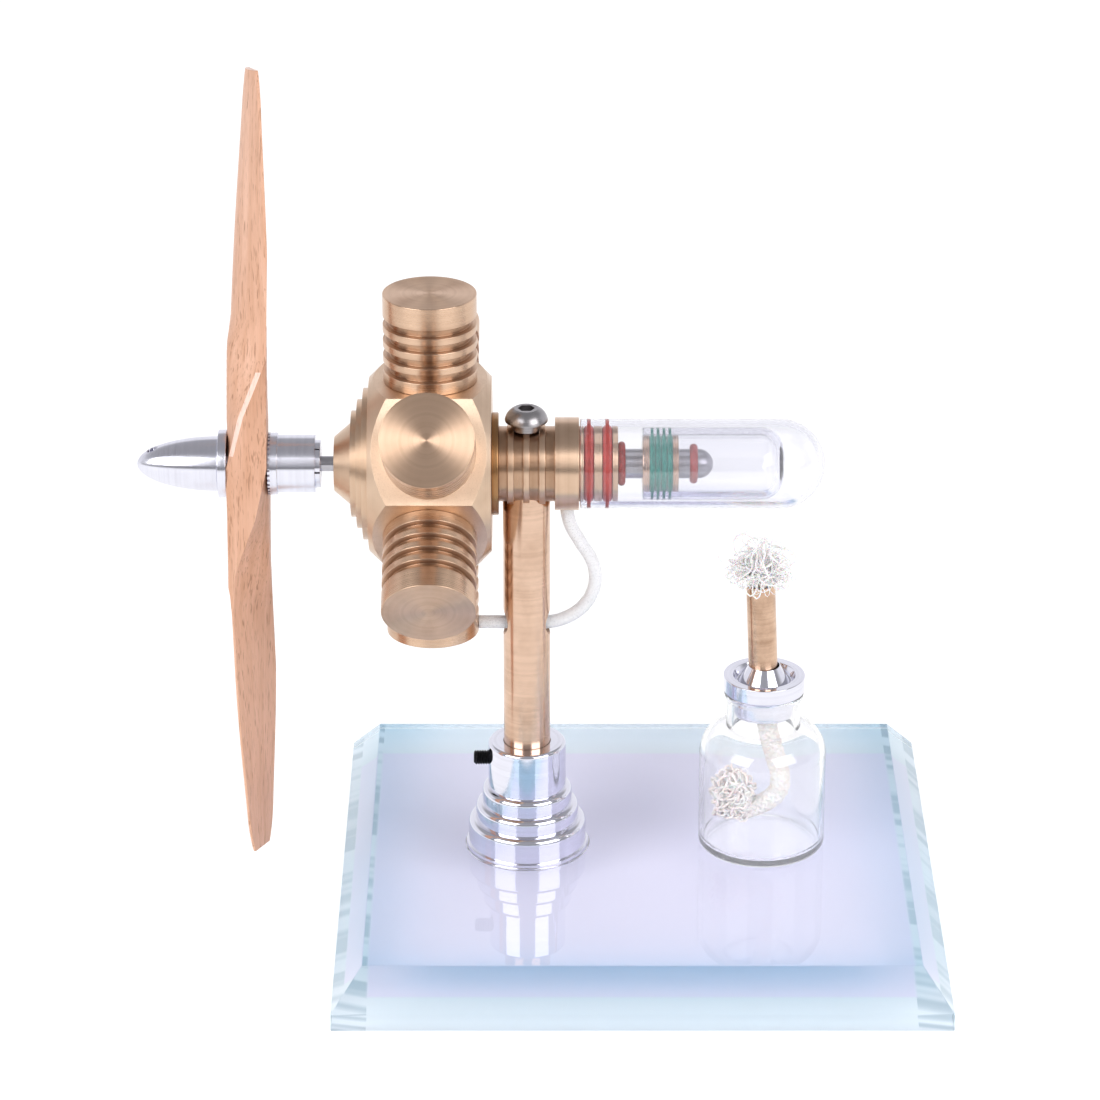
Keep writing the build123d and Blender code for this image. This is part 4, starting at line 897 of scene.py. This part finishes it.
def spinner():
    """Bullet-shaped nut with an elliptical nose and a cross hole for a tommy bar."""
    length = SPINNER_BASE - SPINNER_TIP
    angles = [radians(90 - 90 * i / 48) for i in range(49)]
    outline = [(SPINNER_BASE - length * sin(a), SPINNER_R * cos(a)) for a in angles[1:-1]]
    outline = [(SPINNER_TIP, 0)] + outline
    outline += [(SPINNER_BASE - 0.15, SPINNER_R), (SPINNER_BASE, SPINNER_R - 0.15)]
    outline += [(SPINNER_BASE, SPINNER_BORE_R), (SPINNER_BORE_END, SPINNER_BORE_R), (SPINNER_BORE_END, 0)]
    piece = skin("bullet_spinner", turned_rings(outline, *SHAFT, 160), adapter, sharp=35)
    cut_hole(piece, (SPINNER_HOLE_X, 0, AXIS_Z), (0, 0, 1), SPINNER_HOLE_R, 12.0)
    return piece


stand_in(spinner(), "adapter_aluminium", "spinner_nut")

HUB_T = PROP_BACK - PROP_FRONT


def blade_chord(r):
    """Blade width at radius r: a waist near the hub, widest two thirds out, rounded off at the tip."""
    body = CHORD_MEAN + CHORD_SWELL * cos(2 * pi * (r - WIDEST_R) / SWELL_SPAN)
    return body * sqrt(1 - (max(0.0, r - TIP_START) / TIP_ROUND) ** 2)


def blade_wall(r):
    """Height of a section's side walls: the blank's thickness in the hub, thin from WALL_END outwards."""
    return max(PROP_EDGE, HUB_T * min(1.0, (WALL_END - r) / WALL_SPAN))


def bow(start, crest, end, share):
    """Point at a share of the way along a smooth bow from start over crest to end."""
    s, c, e = Vector(start), Vector(crest), Vector(end)
    top = c * 2 - (s + e) / 2
    return s * (1 - share) ** 2 + top * (2 * share * (1 - share)) + e * share ** 2


def blade_outline(r):
    """Section of a blade as (across, forwards) points, from the trailing edge's back corner."""
    wall = blade_wall(r)
    camber = 0.02 + 3.0 * (1 - exp(-((r / 14) ** 2))) * (1 - 0.75 * r / PROP_R)
    twist = min(atan2(PROP_PITCH, 2 * pi * max(r, 0.01)), radians(ROOT_TWIST * r / ROOT_SPAN))
    half = blade_chord(r) / 2
    cut = min(0.75, wall * 0.4)
    back = [(half * (i / 5 - 1), -wall / 2) for i in range(11)]
    lead = [(half, -wall / 2 + (wall - cut) * i / 6) for i in range(1, 7)]
    crown = ((half - cut, wall / 2), (0.1 * half, wall / 2 + camber), (-half + cut, wall / 2))
    front = [bow(*crown, i / 18) for i in range(19)]
    tail = [(-half, wall / 2 - cut - (wall - cut) * i / 6) for i in range(6)]
    cos_t, sin_t = cos(twist), sin(twist)
    return [(s * cos_t - n * sin_t, s * sin_t + n * cos_t) for s, n in back + lead + front + tail]


# Section sides that get the painted highlight, a paler beech: the leading edge, and the crease beside it.
HIGHLIT_EDGE_SIDES, HIGHLIT_CREASE_SIDE = (16, 17, 18), 35
CREASE_SPAN = (2.0, 18.0)


def gets_painted_highlight(side, r):
    """True for the faces that get the painted highlight: the leading edge outside the hub, and the crease
    beside it.
    """
    if side == HIGHLIT_CREASE_SIDE:
        return CREASE_SPAN[0] < r < CREASE_SPAN[1]
    return side in HIGHLIT_EDGE_SIDES and r > CREASE_SPAN[1] + 4.0


BLADE_STATIONS = [PROP_R * i / 90 for i in range(87)]
BLADE_STATIONS += [PROP_R * share for share in (0.972, 0.984, 0.993, 0.998, 1.0)]


def blade_rings(turn):
    """Rings of one blade, from the hub's middle to its tip, kept inside the blank's flat faces."""
    angle = radians(PROP_TURN + turn)
    span = Vector((0, sin(angle), cos(angle)))
    leading = Vector((0, cos(angle), -sin(angle)))
    rings = []
    for r in BLADE_STATIONS:
        middle = (PROP_FRONT + PROP_BACK) / 2 + BLADE_LEAN * r / PROP_R
        back_limit = PROP_BACK + BLADE_LEAN * max(0.0, r - LEAN_START) / (PROP_R + 1 - LEAN_START)
        ring = []
        for s, n in blade_outline(r):
            point = Vector((0, 0, AXIS_Z)) + span * r + leading * s
            point.x = max(PROP_FRONT, min(back_limit, middle - n))
            ring.append(point)
        rings.append(ring)
    return rings


def carved_propeller():
    """Two-blade wooden propeller with flat hub faces; a paler beech, a painted highlight, goes on its leading
    edge, the crease beside it and its end faces.
    """
    form = bmesh.new()
    for turn in (0, 180):
        rings = blade_rings(turn)
        around, first = len(rings[0]), len(form.faces)
        add_skin(form, rings, caps=True)
        form.faces.ensure_lookup_table()
        for k in range(first, len(form.faces)):
            row, side = divmod(k - first, around)
            if row >= len(rings) - 1 or gets_painted_highlight(side, BLADE_STATIONS[row]):
                form.faces[k].material_index = 1
    piece = publish("carved_propeller", form, beech(), 28)
    # The second material is the painted highlight.
    piece.data.materials.append(beech("beech_painted_highlight", pale=True))
    return piece


stand_in(carved_propeller(), "beech", "propeller")

# -------- spirit burner
BOTTLE_R, SHOULDER_R, SHOULDER_Z, BOTTLE_WALL = 12.6, 6.5, 31.0, 1.0
HEEL_AT, HEEL_R, HEEL_INSIDE_R, LIP_R = 11.3, 1.3, 1.5, 0.6
SHOULDER_C = (BOTTLE_R - SHOULDER_R, SHOULDER_Z)


def upright_arc(centre, radius, start, end, steps):
    """Arc given as (radius, height), returned as the (height, radius) points that an outline takes."""
    return [(h, r) for r, h in arc(centre, radius, start, end, steps)]


def bottle():
    """Thin blown bottle with a round shoulder, a short neck and a rolled lip, open at the top."""
    lean = degrees(acos((7.4 - SHOULDER_C[0]) / SHOULDER_R))
    lean_in = degrees(acos((6.3 - SHOULDER_C[0]) / (SHOULDER_R - BOTTLE_WALL)))
    outline = [(BOTTLE_BASE + 0.35, 0), (BOTTLE_BASE + 0.3, 8.5), (BOTTLE_BASE, 10.2)]
    outline += upright_arc((HEEL_AT, BOTTLE_BASE + HEEL_R), HEEL_R, -90, 0, 8)
    outline += upright_arc(SHOULDER_C, SHOULDER_R, 0, lean, 20)
    outline += [(38.6, 7.35), (43.2, 7.35), (43.6, 7.75)]
    outline += upright_arc((7.3, 44.3), LIP_R, 0, 90, 6)
    outline += [(44.9, 6.2), (44.5, 5.8), (38.4, 5.85)]
    outline += upright_arc(SHOULDER_C, SHOULDER_R - BOTTLE_WALL, lean_in, 0, 20)
    outline += upright_arc((10.1, BOTTLE_BASE + 2.7), HEEL_INSIDE_R, 0, -70, 8)
    outline += [(BOTTLE_BASE + 1.25, 8.0), (BOTTLE_BASE + 1.5, 3.5), (BOTTLE_BASE + 1.6, 0)]
    rings = turned_rings(outline, BURNER_FOOT, (0, 0, 1), 160)
    clear = glass("bottle_glass", shadow=(0.95, 0.96, 0.98), ior=1.45, clearness=0.93)
    return skin("blown_bottle", rings, clear, sharp=60)


stand_in(bottle(), "bottle_glass", "burner_bottle")

stopper_metal = turned(
    "stopper_aluminium", *ALUMINIUM, BURNER_FOOT, (0, 0, 1),
    roughness=0.1, marks=0.002, spread=0.3, edges=0, stains=0.2,
)
STOPPER_OUTLINE = (
    (40.0, 2.95), (40.0, 5.4), (41.0, 5.7), (44.96, 5.7), (44.96, 8.05), (48.1, 8.05),
    (48.1, 6.2), (46.6, 5.5), (46.6, 5.1), (50.2, 3.1), (50.2, 2.95),
)
stand_in(
    lathe("turned_stopper", STOPPER_OUTLINE, stopper_metal, BURNER_FOOT, edge=0.15, closed=True),
    "stopper_aluminium", "stopper",
)
TUBE_FOOT = (BURNER[0], BURNER[1], TUBE_PIVOT_Z)
TUBE_OUTLINE = ((-3.0, 2.4), (-3.0, 2.87), (23.8, 2.87), (23.8, 2.4))
tube_brass = turned(
    "tube_brass", (0.72, 0.50, 0.36), (0.36, 0.22, 0.14), TUBE_FOOT, TUBE_AXIS,
    roughness=0.19, marks=0.005, spread=0.7, edges=0, stains=0.8,
)
stand_in(
    lathe("burner_wick_tube", TUBE_OUTLINE, tube_brass, TUBE_FOOT, TUBE_AXIS, edge=0.12, closed=True),
    "tube_brass", "wick_tube",
)


# -------- cotton wick
BRAID_STRANDS, BRAID_PITCH, BRAID_STEP = 7, 9.0, 0.35
BRAID_R, BRAID_WEAVE = WICK_R - 0.45, 0.16


def braid(line):
    """Strand paths of a round braid along a line: half wind one way and half the other, over and under."""
    lengths = [0.0]
    for a, b in zip(line, line[1:]):
        lengths.append(lengths[-1] + (b - a).length)
    steps = int(lengths[-1] / BRAID_STEP)
    side = Vector((0, 1, 0))
    paths = []
    for sense, k in itertools.product((1, -1), range(BRAID_STRANDS)):
        path = []
        j = 0
        for i in range(steps + 1):
            at = lengths[-1] * i / steps
            while j < len(line) - 2 and lengths[j + 1] < at:
                j += 1
            share = (at - lengths[j]) / max(lengths[j + 1] - lengths[j], 1e-9)
            point = line[j].lerp(line[j + 1], share)
            up = (line[j + 1] - line[j]).normalized().cross(side).normalized()
            turns = at / BRAID_PITCH
            angle = 2 * pi * (sense * turns + k / BRAID_STRANDS)
            radius = BRAID_R + BRAID_WEAVE * sense * cos(2 * pi * turns * BRAID_STRANDS)
            path.append(point + side * (radius * cos(angle)) + up * (radius * sin(angle)))
        paths.append(path)
    return paths


def scattered(rng, rise=1):
    """Random vector whose z spreads by rise."""
    return Vector((rng.gauss(0, 1), rng.gauss(0, 1), rng.gauss(0, rise)))


def yarn(rng, start, heading, length, curl, pull, steps=14):
    """Path of a limp yarn: it wanders from its heading by curl, and pull bends it each step."""
    path = [start.copy()]
    heading = heading.normalized()
    axis = scattered(rng).normalized()
    for _ in range(steps):
        wobble = scattered(rng) * 0.25
        heading = (heading + axis.cross(heading) * curl + wobble * curl + pull(path[-1])).normalized()
        path.append(path[-1] + heading * (length / steps))
    return path


def tuft_paths(rng, count, length, curl, reach):
    """Frayed yarns that leave the mouth of the tube, rise, and curl outwards and over its rim."""
    mouth, mouth_r, rim_z = Vector((45.83, 0.5, 67.6)), 1.75, 68.6
    paths = []
    for _ in range(count):
        angle, spread = rng.uniform(0, 2 * pi), sqrt(rng.random())
        out = Vector((cos(angle), sin(angle), 0))
        start = mouth + out * (mouth_r * spread)
        heading = out * (0.15 + 0.8 * spread) + Vector((0, 0, rng.uniform(0.8, 1.8)))

        def pull(p):
            home = TUFT_CENTRE - p
            far = max(0.0, home.length - reach)
            below = max(0.0, rim_z - p.z) * 0.3
            return home.normalized() * (far * 0.25) + Vector((0, 0, below))

        paths.append(yarn(rng, start, heading, length * rng.uniform(0.7, 1.2), curl, pull))
    return paths


def bunch_paths(rng, count, length, curl):
    """Matted yarns of the wick's lower end, wound about inside an upright ellipsoid."""
    paths = []
    for _ in range(count):
        at = scattered(rng).normalized() * rng.uniform(0.4, 0.95)
        start = BUNCH_CENTRE + Vector((at.x * 3.9, at.y * 3.9, at.z * 5.2))
        heading = scattered(rng, 0.7)

        def pull(p):
            q = p - BUNCH_CENTRE
            outside = sqrt((q.x / BUNCH_R) ** 2 + (q.y / BUNCH_R) ** 2 + (q.z / BUNCH_HALF_HEIGHT) ** 2)
            return -q.normalized() * max(0.0, outside - 0.85) * 3.0

        paths.append(yarn(rng, start, heading, length * rng.uniform(0.7, 1.3), curl, pull, 20))
    return paths


def tapered_yarn(share):
    return 0.3 * (1.0 - 0.55 * share)


cotton_warm = cotton("cotton", (0.64, 0.54, 0.50), (0.82, 0.75, 0.73))
cotton_white = cotton("cotton_bleached", (0.91, 0.86, 0.85), (0.97, 0.94, 0.93))
wick_core.data.materials.append(cotton_warm)
stand_in(wick_core, "cotton", "wick")
braided = strands("wick_braid", braid(centreline(wick_core)), 0.5, cotton_warm)

rng = random.Random(7)
tuft = strands("wick_tuft_yarns", tuft_paths(rng, 90, 10.5, 0.38, 2.7), tapered_yarn, cotton_white)
stand_in(tuft, "cotton", "wick_tuft")
fibres = strands("wick_tuft_fibres", tuft_paths(rng, 110, 13.0, 0.3, 4.9), 0.07, cotton_white, 4)
bunch = strands("wick_bunch_yarns", bunch_paths(rng, 100, 14.0, 0.3), 0.26, cotton_warm)
stand_in(bunch, "cotton", "wick_bunch")
strays = strands("wick_tuft_strays", tuft_paths(rng, 16, 14.5, 0.26, 5.2), 0.16, cotton_white)
loose = strands("wick_bunch_fibres", bunch_paths(rng, 60, 13.0, 0.35), 0.09, cotton_white, 4)
for extra in (braided, fibres, strays, loose):
    rider(extra, "wick_holder")


# -------- floor, light and surroundings
def floor():
    """Plain pale floor that reaches the horizon."""
    form = bmesh.new()
    bmesh.ops.create_circle(form, cap_ends=True, segments=64, radius=12.0)
    g = Graph("floor_paper")
    grain = g.noise(g.place, 0.02, 2.0)
    g.set(Base_Color=g.mix(grain, (0.24, 0.24, 0.245), (0.26, 0.26, 0.26)), Roughness=0.9)
    g.set(Specular_IOR_Level=0.1, Emission_Color=(1, 1, 1, 1), Emission_Strength=0.88)
    piece = publish("floor", form, g.material)
    piece.location.z = -0.0002


def softbox(name, location, size, power):
    """Rectangular studio light aimed at the object."""
    data = bpy.data.lights.new(name, "AREA")
    data.shape, data.size, data.size_y, data.energy = "RECTANGLE", size[0], size[1], power
    light = link(bpy.data.objects.new(name, data))
    light.location = location
    aim = Vector((0.0, 0.0, 0.07)) - Vector(location)
    light.rotation_euler = aim.to_track_quat("-Z", "Y").to_euler()
    return light


def height_ramp(tree, height, stops):
    """Greys by height in the sky."""
    ramp = tree.nodes.new("ShaderNodeValToRGB")
    tree.links.new(height, ramp.inputs[0])
    ramp.color_ramp.elements.remove(ramp.color_ramp.elements[1])
    for i, (at, grey) in enumerate(stops):
        stop = ramp.color_ramp.elements[0] if i == 0 else ramp.color_ramp.elements.new(at)
        stop.position, stop.color = at, (grey, grey, grey * 1.04, 1)
    return ramp.outputs[0]


FRONT_GREYS = ((0.0, 0.32), (0.06, 0.15), (0.16, 0.32), (0.5, 0.42), (1.0, 0.36))
BACK_GREYS = ((0.0, 0.95), (0.48, 0.95), (0.62, 0.42), (1.0, 0.36))


def surroundings():
    """Studio: a white backdrop behind, and a grey room in front with a dark line at its horizon."""
    world = bpy.data.worlds.new("Studio")
    bpy.context.scene.world = world
    world.use_nodes = True
    tree = world.node_tree
    direction = tree.nodes.new("ShaderNodeTexCoord")
    split = tree.nodes.new("ShaderNodeSeparateXYZ")
    tree.links.new(direction.outputs["Generated"], split.inputs[0])
    front = height_ramp(tree, split.outputs["Z"], FRONT_GREYS)
    back = height_ramp(tree, split.outputs["Z"], BACK_GREYS)
    share = tree.nodes.new("ShaderNodeMapRange")
    share.inputs["From Min"].default_value, share.inputs["From Max"].default_value = -0.15, 0.2
    tree.links.new(split.outputs["Y"], share.inputs["Value"])
    mixed = tree.nodes.new("ShaderNodeMix")
    mixed.data_type = "RGBA"
    tree.links.new(share.outputs["Result"], mixed.inputs[0])
    tree.links.new(front, mixed.inputs[6])
    tree.links.new(back, mixed.inputs[7])
    tree.links.new(mixed.outputs[2], tree.nodes["Background"].inputs["Color"])


floor()
for name, side in (("Left", -1), ("Right", 1)):
    softbox(name, (side * 0.74, -0.74, 0.66), (0.85, 0.75), 7.5)
softbox("Top", (0.0, 0.25, 1.3), (1.2, 0.8), 2.5).visible_glossy = False
surroundings()
bpy.context.scene.view_settings.view_transform = "Standard"
